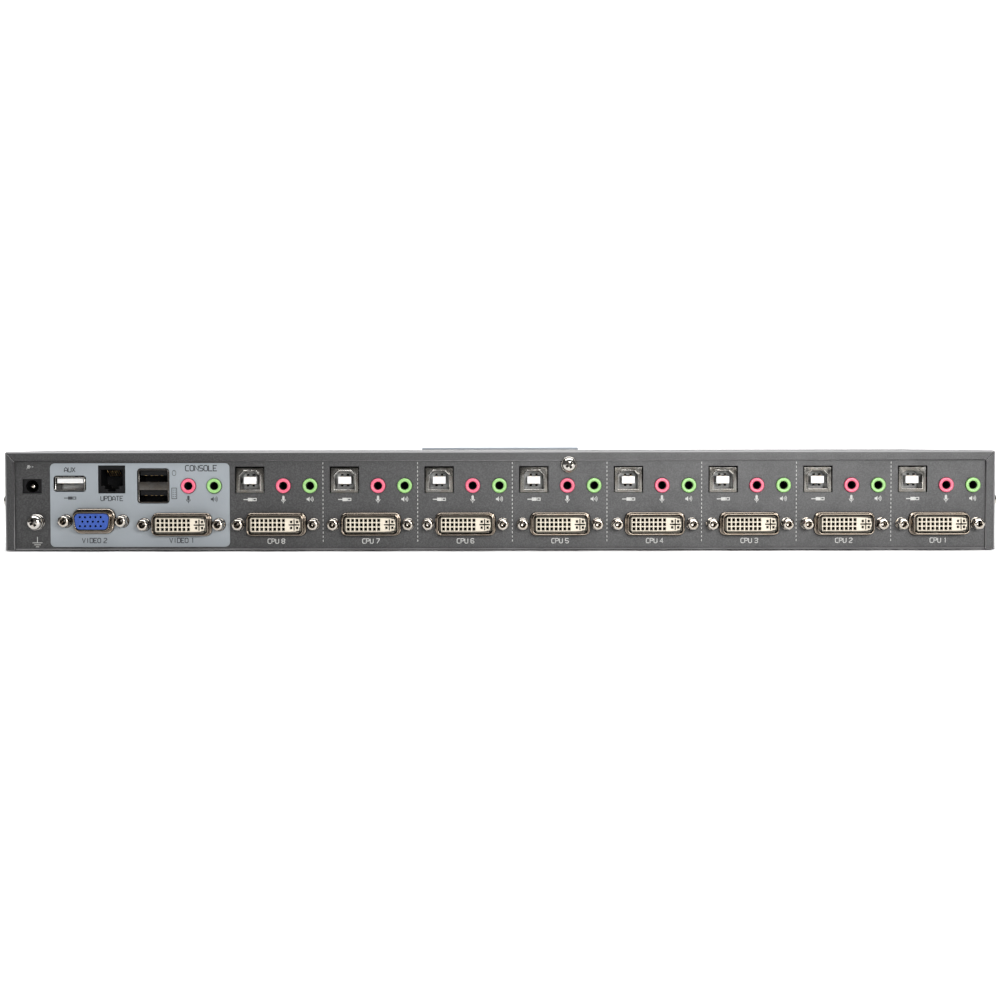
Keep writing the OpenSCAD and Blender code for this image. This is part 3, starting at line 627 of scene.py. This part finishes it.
def build_case_screws():
    side_places = [
        at(side * CASE_W / 2, y, CASE_H / 2) @ about("Z", -90 * side)
        for side in (-1, 1)
        for y in SIDE_SCREW_Y
    ]
    sides = repeat(lambda: screw(2.75, 1.8, 1.4, 5, 0.7), side_places)
    bezel_places = [at(x, BEZEL_SCREW_Y, BEZEL_SCREW_Z) for x in BEZEL_SCREW_X]
    bezel = repeat(lambda: screw(2.75, 1.8, 1.4, 5.8, 0.7), bezel_places)
    rear = gather(
        (washer(3.5, 1.6, 0, 0.7), Matrix()),
        (screw(3.05, 2.3, 1.4, 5.8, 0.7, 35), at(0, 0.75, 0)),
    )
    rear_place = at(REAR_SCREW_X, REAR_Y, REAR_SCREW_Z)
    everything = gather((sides, Matrix()), (bezel, Matrix()), (rear, rear_place))
    show("cover_screws", everything, STEEL, "screw_steel", replaces=["case_screws"], angle=35)


def build_earth_screw():
    low, high = box_mm("ground_screw")
    x, z = (low.x + high.x) / 2, (low.z + high.z) / 2
    stack = gather(
        (washer(3.4, 1.6, 0, 0.8), Matrix()),
        (washer(2.7, 1.6, 0.82, 1.3), Matrix()),
        (washer(3.1, 1.6, 1.32, 2.1), Matrix()),
        (washer(2.3, 1.6, 2.12, 3.1), Matrix()),
        (washer(3.4, 1.6, 3.12, 3.85), Matrix()),
        (screw(3.1, 2.5, 1.45, 9, 0.8, 28), at(0, 3.9, 0)),
    )
    stack.transform(at(x, PANEL_Y, z))
    show("earth_screw", stack, STEEL, "screw_steel", replaces=["ground_screw"], angle=35)


def hex_radius(flats):
    """Radius of a hexagon at an angle, for lathe()."""
    sixth = math.pi / 3

    def radius(a, y):
        return flats / 2 / math.cos((a + sixth / 2) % sixth - sixth / 2)

    return radius


def jack_nut():
    """Hex standoff nut on a round seat, with a chamfered, threaded bore; its seat is at y = 0."""
    flats = 4.76
    full = hex_radius(flats)
    tip = NUT_HEIGHT
    pitch = 0.635
    bore = 1.13

    def chamfered(slope_y):
        return lambda a, y: min(full(a, y), flats / 2 + slope_y(y))

    def threads(a, y):
        return bore + 0.05 * (1 + math.cos(2 * math.pi * y / pitch + a))

    bottom = chamfered(lambda y: (y - 0.8) * 1.4)
    top = chamfered(lambda y: (tip - 0.55 - y) * 1.4)
    outside = [(-5, 1.2), (-4.8, 1.4), (0, 1.4), (0, 2.55), (0.1, 2.7), (0.68, 2.7)]
    outside += [(0.8, 2.58), (0.8, 2.38)]
    outside += [(y, bottom) for y in (0.85, 1.0, 1.15)]
    outside += [(y, top) for y in (tip - 0.9, tip - 0.75, tip - 0.6)]
    outside += [(tip - 0.42, 2.3), (tip - 0.24, 2.18), (tip - 0.08, 1.95), (tip, 1.7)]
    inside = [(tip, 1.5), (tip - 0.3, 1.26)]
    inside += [(tip - 0.3 - pitch / 4 * i, threads) for i in range(1, 26)]
    return lathe(outside + inside + [(tip - 4.9, 0.8), (tip - 5, 0.3)], 36)


# From a video socket's middle out to its nuts
DIGITAL_NUT_X = 16.5
ANALOGUE_NUT_X = 12.495


def build_jack_nuts():
    places = []
    pairs = [(MOUNT[f"computer_video_{k}"], DIGITAL_NUT_X) for k in PORTS]
    pairs.append((MOUNT["console_video"], DIGITAL_NUT_X))
    pairs.append((MOUNT["console_analogue_video"], ANALOGUE_NUT_X))
    for i, (centre, reach) in enumerate(pairs):
        for side in (-1, 1):
            turn = 17 * i + 23 * side
            places.append(at(centre.x + side * reach, PANEL_Y, centre.z) @ about("Y", turn))
    show("hex_nuts", repeat(jack_nut, places), NUT, "nut_nickel", replaces=["jackscrews"], angle=35)


# ---------- Video sockets ----------

PIN_PITCH = 1.905
FIRST_PIN_X = 9.55
BLADE_X = -8.5
BLADE_CONTACT_X, BLADE_CONTACT_Z = 1.3, 1.33
ANALOGUE_PITCH_X, ANALOGUE_PITCH_Z = 2.29, 1.98


def contact_sleeve(width, height, depth=1.9, wall=0.14):
    """Square contact seen end on: a closed block with a hollow mouth facing +Y."""
    outer = block((-width / 2, -depth, -height / 2), (width / 2, 0, height / 2))
    inner_x, inner_z = width / 2 - wall, height / 2 - wall
    mouth = block((-inner_x, -depth + 0.3, -inner_z), (inner_x, 1, inner_z))
    return cut(outer, [mouth])


def dvi_contacts(centre, face_y):
    """The 24 digital contacts, the four analogue ones and the crossed blade."""
    y = face_y - 0.55
    digital = [
        at(centre.x + FIRST_PIN_X - i * PIN_PITCH, y, centre.z + j * PIN_PITCH)
        for i in range(8)
        for j in (-1, 0, 1)
    ]
    analogue = [
        at(centre.x + BLADE_X + i * BLADE_CONTACT_X, y, centre.z + j * BLADE_CONTACT_Z)
        for i in (-1, 1)
        for j in (-1, 1)
    ]
    blade = block((-2.2, -1.8, -0.16), (2.2, 0, 0.16))
    return gather(
        (repeat(lambda: contact_sleeve(1.12, 1.22), digital), Matrix()),
        (repeat(lambda: contact_sleeve(0.8, 0.9), analogue), Matrix()),
        (blade, at(centre.x + BLADE_X, y, centre.z)),
    )


def collar_rim(centre, reach_x, reach_z):
    """Picks the outer rim of a video shell's collar: what lies beyond either reach from its middle."""

    def chosen(p):
        proud = PANEL_Y + 0.5 < p.y < PANEL_Y + 3
        return proud and (abs(p.x - centre.x) > reach_x or abs(p.z - centre.z) > reach_z)

    return chosen


def build_dvi(shell, insert, centre):
    rounded(shell, NICKEL, "shell_nickel", 0.12, softer=[(collar_rim(centre, 12.6, 4.6), 0.45)])
    face_y = box_mm(insert)[1].y

    def lead_in(p):
        return p.y > face_y - 0.1 and abs(p.x - centre.x) < 11 and abs(p.z - centre.z) < 3

    rounded(insert, CREAM, "insert_cream", 0, softer=[(lead_in, 0.15, 1)])
    show(insert + "_contacts", dvi_contacts(centre, face_y), CONTACT, "shell_nickel")


def build_video_sockets():
    for k in PORTS:
        build_dvi(f"dvi_shell_{k}", f"dvi_insert_{k}", MOUNT[f"computer_video_{k}"])
    build_dvi("console_dvi_shell", "console_dvi_insert", MOUNT["console_video"])


def build_analogue_socket():
    centre = MOUNT["console_analogue_video"]
    rounded("vga_shell", NICKEL, "shell_nickel", 0.12, softer=[(collar_rim(centre, 8.7, 4.3), 0.6)])
    dress(["vga_insert"], BLUE)
    face_y = box_mm("vga_insert")[1].y
    places = []
    for j in (-1, 0, 1):
        shift = -0.25 if j == 0 else 0.25
        z = centre.z + j * ANALOGUE_PITCH_Z
        for i in range(-2, 3):
            places.append(at(centre.x + (i + shift) * ANALOGUE_PITCH_X, face_y - 0.4, z))
    sleeve = [(-1.6, 0.4), (-1.6, 0.46), (0, 0.46), (0, 0.32), (-1.2, 0.32)]
    contacts = repeat(lambda: lathe(sleeve, 12), places)
    show("analogue_contacts", contacts, CONTACT, "shell_nickel")


# ---------- USB, audio, service and power sockets ----------


def build_usb_b():
    sockets = [MOUNT[f"computer_usb_{k}"] for k in PORTS]

    def mouth(p):
        return p.y > PANEL_Y - 0.3 and any(abs(p.x - m.x) < 5 and abs(p.z - m.z) < 4.7 for m in sockets)

    rounded("usb_b_shells", SHELL, "shell_nickel", 0.12, softer=[(mouth, 0.2)])
    rounded("usb_b_tongues", WHITE, "tongue_white", 0.15)
    contact_x, blade_z, slot_z = 1.25, 1.62, 2.35
    blades = []
    mouths = []
    for socket in sockets:
        for side in (-1, 1):
            for x in (-contact_x, contact_x):
                blades.append(at(socket.x + x, 0, socket.z + side * blade_z))
                mouths.append(at(socket.x + x, 0, socket.z + side * slot_z))
    front = PANEL_Y - 0.95
    strips = repeat(lambda: block((-0.45, front - 7, -0.06), (0.45, front - 0.4, 0.06)), blades)
    show("usb_b_contacts", strips, GOLD, "nut_nickel")
    slots = repeat(lambda: block((-0.5, front - 3.2, -0.4), (0.5, front - 2.2, 0.4)), mouths)
    show("usb_b_contact_slots", slots, BLACK, "socket_black", bevel=0.08)


def around_bores(word):
    """Picks the mouth of each audio socket's bore."""
    places = [MOUNT[f"console_{word}"]] + [MOUNT[f"computer_{word}_{k}"] for k in PORTS]

    def chosen(p):
        return p.y > REAR_Y - 0.3 and any(math.hypot(p.x - m.x, p.z - m.z) < 2 for m in places)

    return chosen


def jack_liner():
    """Dark sleeve inside an audio socket, open at the front, from y = -13.8 to y = -0.9."""
    back, front = -13.8, -0.9
    outside = [(back, 0.6), (back, 1.78), (front, 1.78)]
    return lathe(outside + [(front, 1.6), (-1.3, 1.45), (-13, 1.45)], 28)


def build_audio():
    for node, material, slot, word in (
        ("mic_jacks", PINK, "jack_pink", "mic"),
        ("speaker_jacks", GREEN, "jack_green", "speaker"),
    ):
        rounded(node, material, slot, 0.12, softer=[(around_bores(word), 0.55)])
        names = [f"computer_{word}_{k}" for k in PORTS] + [f"console_{word}"]
        liners = repeat(jack_liner, [Matrix.Translation(MOUNT[n]) for n in names])
        show(word + "_liners", liners, BLACK, "socket_black")


def tongue_contacts(centre, under_z, front):
    """Four gold strips on the underside of a USB type A tongue."""
    places = [at(centre.x + x, 0, under_z) for x in (-3.5, -1, 1, 3.5)]
    return repeat(lambda: block((-0.5, front - 7, -0.05), (0.5, front - 0.5, 0.05)), places)


STACK_TIER_Z = 4.4
TONGUE_UNDER_Z = 0.16


def build_usb_a():
    rounded("device_usb_shell", SHELL, "shell_nickel", 0.15)
    rounded("device_usb_tongue", WHITE, "tongue_white", 0.15)
    rounded("usb_stack_shell", SHADED_SHELL, "shell_nickel", 0.15)
    rounded("usb_stack_tongues", BLACK, "socket_black", 0.15)
    front = PANEL_Y - 0.7
    device = MOUNT["device_usb"]
    stack = MOUNT["console_keyboard_mouse"]
    strips = gather(
        (tongue_contacts(device, device.z + TONGUE_UNDER_Z, front), Matrix()),
        (tongue_contacts(stack, stack.z + STACK_TIER_Z + TONGUE_UNDER_Z, front), Matrix()),
        (tongue_contacts(stack, stack.z - STACK_TIER_Z + TONGUE_UNDER_Z, front), Matrix()),
    )
    show("usb_a_contacts", strips, GOLD, "nut_nickel")


def build_service_socket():
    rounded("service_jack", BLACK, "socket_black", 0.12)
    centre = MOUNT["service_port"]
    wires = []
    for i in range(6):
        x = centre.x + (i - 2.5) * 1.02
        rise = [(0, 0), (0.4, -0.35), (2.4, -1.0), (5.4, -2.4), (6.4, -2.6), (6.6, -2.4)]
        path = [(PANEL_Y - 1.6 - dy, centre.z + 3.9 + dz) for dy, dz in rise]
        band = stroke(path, 0.3, 0.34)
        swapped = ((0, 1, 0, x - 0.17), (1, 0, 0, 0), (0, 0, 1, 0), (0, 0, 0, 1))
        band.transform(Matrix(swapped))
        bmesh.ops.recalc_face_normals(band, faces=band.faces)
        wires.append((band, Matrix()))
    show("service_contacts", gather(*wires), GOLD, "nut_nickel")


def build_power_socket():
    rounded("dc_jack", BLACK, "socket_black", 0.15)
    low, high = box_mm("dc_jack_pin")
    centre = (low + high) / 2
    r = high.x - centre.x
    tip = high.y
    crown = [(tip - 0.3, r * 0.88), (tip - 0.08, r * 0.62), (tip, r * 0.3)]
    pin = lathe([(low.y, r), (tip - 0.7, r)] + crown, 24)
    pin.transform(at(centre.x, 0, centre.z))
    show("power_pin", pin, NUT, "nut_nickel", replaces=["dc_jack_pin"])


# ---------- Printing ----------

# Thickness of the print
INK = 0.03
# Each letter is drawn on a grid 4 wide and 6 high, as strokes of (x, z) digit pairs
GLYPHS = {
    "A": "00 04 26 44 40|02 42",
    "C": "40 10 01 05 16 46",
    "D": "00 06 36 45 41 30 00",
    "E": "40 00 06 46|03 33",
    "I": "20 26",
    "L": "06 00 40",
    "N": "00 06 40 46",
    "O": "10 01 05 16 36 45 41 30 10",
    "P": "00 06 36 45 44 33 03",
    "R": "00 06 36 45 44 33 03|23 40",
    "S": "00 30 41 42 33 13 04 05 16 46",
    "T": "20 26|06 46",
    "U": "06 01 10 30 41 46",
    "V": "06 20 46",
    "X": "00 46|06 40",
    "1": "15 26 20",
    "2": "05 16 36 45 44 01 00 40",
    "3": "05 16 36 45 44 33 42 41 30 10 01|13 33",
    "4": "30 36 02 42",
    "5": "01 10 30 41 42 33 03 06 46",
    "6": "45 36 16 05 01 10 30 41 42 33 03",
    "7": "06 46 45 10",
    "8": "10 01 02 13 33 42 41 30 10|13 04 05 16 36 45 44 33",
    " ": "",
}


def words(text, height, weight=0.17):
    """Plotter-style lettering centred on x = 0, its feet at z = 0, read from -Y."""
    unit = height / 6
    gap, letter_step, space_step = 1.1, 5.1, 3
    steps = [space_step if letter == " " else letter_step for letter in text]
    left = (gap - sum(steps)) / 2
    parts = []
    for letter, step in zip(text, steps):
        for line in filter(None, GLYPHS[letter].split("|")):
            points = [((left + int(p[0])) * unit, int(p[1]) * unit) for p in line.split()]
            closed = points[0] == points[-1]
            if closed:
                points.pop()
            parts.append((stroke(points, height * weight, INK, closed), Matrix()))
        left += step
    return gather(*parts)


def facing_rear(x, y, z):
    """Turns a drawing that reads from -Y so that it reads from +Y."""
    return at(x, y, z) @ about("Z", 180)


def microphone(size):
    capsule = arc(0, 0.36, 0.17, 0, 180) + arc(0, -0.02, 0.17, 180, 360)
    cradle = arc(0, -0.02, 0.3, 180, 360)
    return gather(
        (prism([(x * size, z * size) for x, z in capsule], 0, -INK), Matrix()),
        (stroke([(x * size, z * size) for x, z in cradle], size * 0.09, INK), Matrix()),
        (stroke([(0, -0.32 * size), (0, -0.58 * size)], size * 0.1, INK), Matrix()),
    )


def loudspeaker(size):
    horn = [(-0.5, -0.14), (-0.32, -0.14), (-0.08, -0.38), (-0.08, 0.38), (-0.32, 0.14), (-0.5, 0.14)]
    parts = [(prism([(x * size, z * size) for x, z in horn], 0, -INK), Matrix())]
    for r in (0.16, 0.34, 0.52):
        wave = [(x * size, z * size) for x, z in arc(-0.05, 0, r, -48, 48)]
        parts.append((stroke(wave, size * 0.08, INK), Matrix()))
    return gather(*parts)


def plug_symbol(size):
    """A plain cable with a plug, for the USB sockets."""
    plug = [(-0.16, -0.13), (0.2, -0.13), (0.2, 0.13), (-0.16, 0.13)]
    tip = [(0.25, -0.09), (0.5, -0.09), (0.5, 0.09), (0.25, 0.09)]
    tail = [(-0.16, 0), (-0.5, 0)]
    return gather(
        (prism([(x * size, z * size) for x, z in plug], 0, -INK), Matrix()),
        (stroke([(x * size, z * size) for x, z in tip], size * 0.06, INK, True), Matrix()),
        (stroke([(x * size, z * size) for x, z in tail], size * 0.07, INK), Matrix()),
    )


def earth_symbol(size):
    parts = []
    for w, z in ((0.5, 0), (0.33, -0.2), (0.16, -0.4)):
        bar = [(-w * size, z * size), (w * size, z * size)]
        parts.append((stroke(bar, size * 0.06, INK), Matrix()))
    parts.append((stroke([(0, 0), (0, size * 0.6)], size * 0.06, INK), Matrix()))
    return gather(*parts)


def polarity_symbol(size):
    """Centre pin positive: a dot in an open ring, with a plus sign on its lead."""
    ring = [(x * size, z * size) for x, z in arc(0, 0, 0.34, 30, 330)]
    lead = [(0.15, 0), (0.6, 0)]
    plus = ([(0.75, 0), (1.05, 0)], [(0.9, -0.15), (0.9, 0.15)])
    ring_lead = [(-0.3, -0.1), (-0.45, -0.55)]
    parts = [
        (prism(circle(0, 0, size * 0.15), 0, -INK), Matrix()),
        (stroke(ring, size * 0.1, INK), Matrix()),
    ]
    for line in (lead, *plus, ring_lead):
        parts.append((stroke([(x * size, z * size) for x, z in line], size * 0.09, INK), Matrix()))
    return gather(*parts)


def mouse_symbol(size):
    body = arc(0, 0.15, 0.3, 0, 180) + arc(0, -0.15, 0.3, 180, 360)
    return gather(
        (stroke([(x * size, z * size) for x, z in body], size * 0.07, INK, True), Matrix()),
        (stroke([(0, 0.15 * size), (0, 0.45 * size)], size * 0.07, INK), Matrix()),
    )


def keyboard_symbol(size):
    rim = [(x * size, z * size) for x, z in ((-0.3, -0.65), (0.3, -0.65), (0.3, 0.65), (-0.3, 0.65))]
    keys = [(x * size, z * size) for x in (-0.12, 0.12) for z in (-0.4, -0.13, 0.14, 0.4)]
    dots = [(prism(circle(x, z, size * 0.06, 10), 0, -INK), Matrix()) for x, z in keys]
    return gather((stroke(rim, size * 0.07, INK, True), Matrix()), *dots)


PORT_WORD_Z = 3.2
PORT_SYMBOL_Z = 22.6
AUDIO_SYMBOL_Z = 22.7
EARTH_SYMBOL_X, EARTH_SYMBOL_Z = 204.5, 3.6
POLARITY_X, POLARITY_Z = 208, 37.2


def build_port_printing():
    parts = []
    y = PANEL_Y
    for k in PORTS:
        video = MOUNT[f"computer_video_{k}"]
        parts.append((words(f"CPU {k}", 2.0), facing_rear(video.x, y, PORT_WORD_Z)))
        parts.append((plug_symbol(5.6), facing_rear(MOUNT[f"computer_usb_{k}"].x, y, PORT_SYMBOL_Z)))
        parts.append((microphone(3), facing_rear(MOUNT[f"computer_mic_{k}"].x, y, AUDIO_SYMBOL_Z)))
        speaker = MOUNT[f"computer_speaker_{k}"]
        parts.append((loudspeaker(3), facing_rear(speaker.x, y, AUDIO_SYMBOL_Z)))
    parts.append((earth_symbol(4.4), facing_rear(EARTH_SYMBOL_X, y, EARTH_SYMBOL_Z)))
    parts.append((polarity_symbol(1.9), facing_rear(POLARITY_X, y, POLARITY_Z)))
    show("port_printing", gather(*parts), INK_LIGHT, "tongue_white")


def build_separators():
    """Dashed lines between the port groups."""
    dash, pitch, top, bottom = 0.9, 1.8, 39, 4.2
    half_width, from_socket = 0.14, 21.1
    dashes = []
    for k in list(PORTS)[:-1]:
        x = MOUNT[f"computer_video_{k}"].x + from_socket
        for i in range(int((top - bottom) / pitch) + 1):
            z = top - i * pitch
            line = block((x - half_width, PANEL_Y, z - dash), (x + half_width, PANEL_Y + INK, z))
            dashes.append((line, Matrix()))
    show("separator_dashes", gather(*dashes), INK_LIGHT, "tongue_white")


def build_console_printing():
    y = PLATE_Y
    heading_z, aux_z, update_z, video_z = 35.3, 34.9, 22.2, 3.6
    plug_z, audio_z, mouse_z, keyboard_z = 23.4, 22.8, 34.4, 25.4
    usb, service, stack = MOUNT["device_usb"], MOUNT["service_port"], MOUNT["console_keyboard_mouse"]
    mic, speaker = MOUNT["console_mic"], MOUNT["console_speaker"]
    beside_stack = stack.x - 9.2
    parts = [
        (words("CONSOLE", 2.4), facing_rear((mic.x + speaker.x) / 2, y, heading_z)),
        (words("AUX", 2.0), facing_rear(usb.x, y, aux_z)),
        (words("UPDATE", 2.0), facing_rear(service.x, y, update_z)),
        (words("VIDEO 2", 2.0), facing_rear(MOUNT["console_analogue_video"].x, y, video_z)),
        (words("VIDEO 1", 2.0), facing_rear(MOUNT["console_video"].x, y, video_z)),
        (plug_symbol(5.2), facing_rear(usb.x, y, plug_z)),
        (microphone(3), facing_rear(mic.x, y, audio_z)),
        (loudspeaker(3), facing_rear(speaker.x, y, audio_z)),
        (mouse_symbol(2.6), facing_rear(beside_stack, y, mouse_z)),
        (keyboard_symbol(3.6), facing_rear(beside_stack, y, keyboard_z)),
    ]
    show("console_printing", gather(*parts), INK_DARK, "socket_black")


def build_front_printing():
    number_z, under_reset, weight = 9, 5, 0.12
    parts = []
    for k in PORTS:
        button = middle(f"port_button_{k}")
        parts.append((words(str(k), 2.4, weight), at(button.x, HOUSING_Y, number_z)))
    reset = middle("reset_button")
    parts.append((words("RESET", 1.6, weight), at(reset.x, HOUSING_Y, reset.z - under_reset)))
    show("front_printing", gather(*parts), INK_DARK, "socket_black")


# ---------- Front ----------


def build_buttons():
    crown_y = box_mm("port_button_1")[0].y

    def crown(p):
        return p.y < crown_y + 0.05

    for k in PORTS:
        node, body = f"port_button_{k}", f"button_{k}"
        rounded(node, BUTTON, "button_grey", 0, body, angle=35, softer=[(crown, 0.4)], whole=crown)
    rounded("reset_button", RESET, "reset_black", 0.2, "reset", segments=3)
    rounded("light_guides", GUIDE, "guide_clear", 0.15)


# ---------- Stage, light and camera ----------


def plain(name, colour, rough):
    g = Graph(name)
    tone = g.mix(g.span(g.noise(400), 0, 1), shade(colour, 0.985), shade(colour, 1))
    return g.finish(tone, rough)


def build_floor():
    """Pale sweep: a floor that curves up into a wall, behind the object for the camera."""
    span, depth, radius, wall_top = 12.0, 3.0, 0.8, 4
    curve = [math.radians(7.5 * i) for i in range(13)]
    profile = [(span, 0)]
    profile += [(-depth - radius * math.sin(a), radius * (1 - math.cos(a))) for a in curve]
    profile.append((-depth - radius, wall_top))
    bm = bmesh.new()
    rows = [[bm.verts.new((x, y, z - 0.0002)) for y, z in profile] for x in (-span, span)]
    for i in range(len(profile) - 1):
        bm.faces.new((rows[0][i], rows[0][i + 1], rows[1][i + 1], rows[1][i]))
    bmesh.ops.recalc_face_normals(bm, faces=bm.faces)
    mesh = bpy.data.meshes.new("floor")
    bm.to_mesh(mesh)
    bm.free()
    mesh.shade_smooth()
    mesh.materials.append(plain("floor_white", (0.93, 0.93, 0.93), 0.6))
    floor = bpy.data.objects.new("floor", mesh)
    bpy.context.collection.objects.link(floor)


def soft_light(name, place, aim, width, height, power):
    lamp = bpy.data.lights.new(name, "AREA")
    lamp.shape = "RECTANGLE"
    lamp.size = width
    lamp.size_y = height
    lamp.energy = power
    obj = bpy.data.objects.new(name, lamp)
    obj.location = place
    obj.rotation_euler = (Vector(aim) - Vector(place)).to_track_quat("-Z", "Y").to_euler()
    obj.visible_camera = False
    bpy.context.collection.objects.link(obj)


def build_lights():
    """A dim room, a wide panel overhead, a lamp beside the camera and a wash on the backdrop."""
    world = bpy.data.worlds.new("studio")
    world.use_nodes = True
    background = world.node_tree.nodes["Background"]
    background.inputs["Color"].default_value = (1, 1, 1, 1)
    background.inputs["Strength"].default_value = 0.12
    bpy.context.scene.world = world
    soft_light("overhead", (0, 0.25, 1.6), (0, 0.25, 0), 2.4, 1.2, 46)
    soft_light("key", (-0.26, 0.84, 0.19), (-0.1, 0.08, 0.02), 0.5, 0.2, 5.6)
    soft_light("backdrop_wash", (0, -2.2, 2.2), (0, -3.6, 0.6), 8, 1, 250)


def build_camera():
    """Straight on to the connectors, a little above their height, tipped down slightly."""
    distance, height, tip, roll = 0.73, 0.047, 1.94, 0.09
    camera = bpy.data.cameras.new("camera")
    camera.sensor_width = 36
    camera.lens = 59.62
    camera.clip_start = 0.01
    obj = bpy.data.objects.new("camera", camera)
    obj.location = (0, REAR_Y / 1000 + distance, height)
    obj.rotation_euler = (math.radians(90 - tip), math.radians(roll), math.radians(180))
    bpy.context.collection.objects.link(obj)
    bpy.context.scene.camera = obj
    bpy.context.scene.view_settings.view_transform = "Standard"


build_case()
build_inside()
build_case_screws()
build_earth_screw()
build_jack_nuts()
build_video_sockets()
build_analogue_socket()
build_usb_b()
build_audio()
build_usb_a()
build_service_socket()
build_power_socket()
build_port_printing()
build_separators()
build_console_printing()
build_front_printing()
build_buttons()
build_floor()
build_lights()
build_camera()
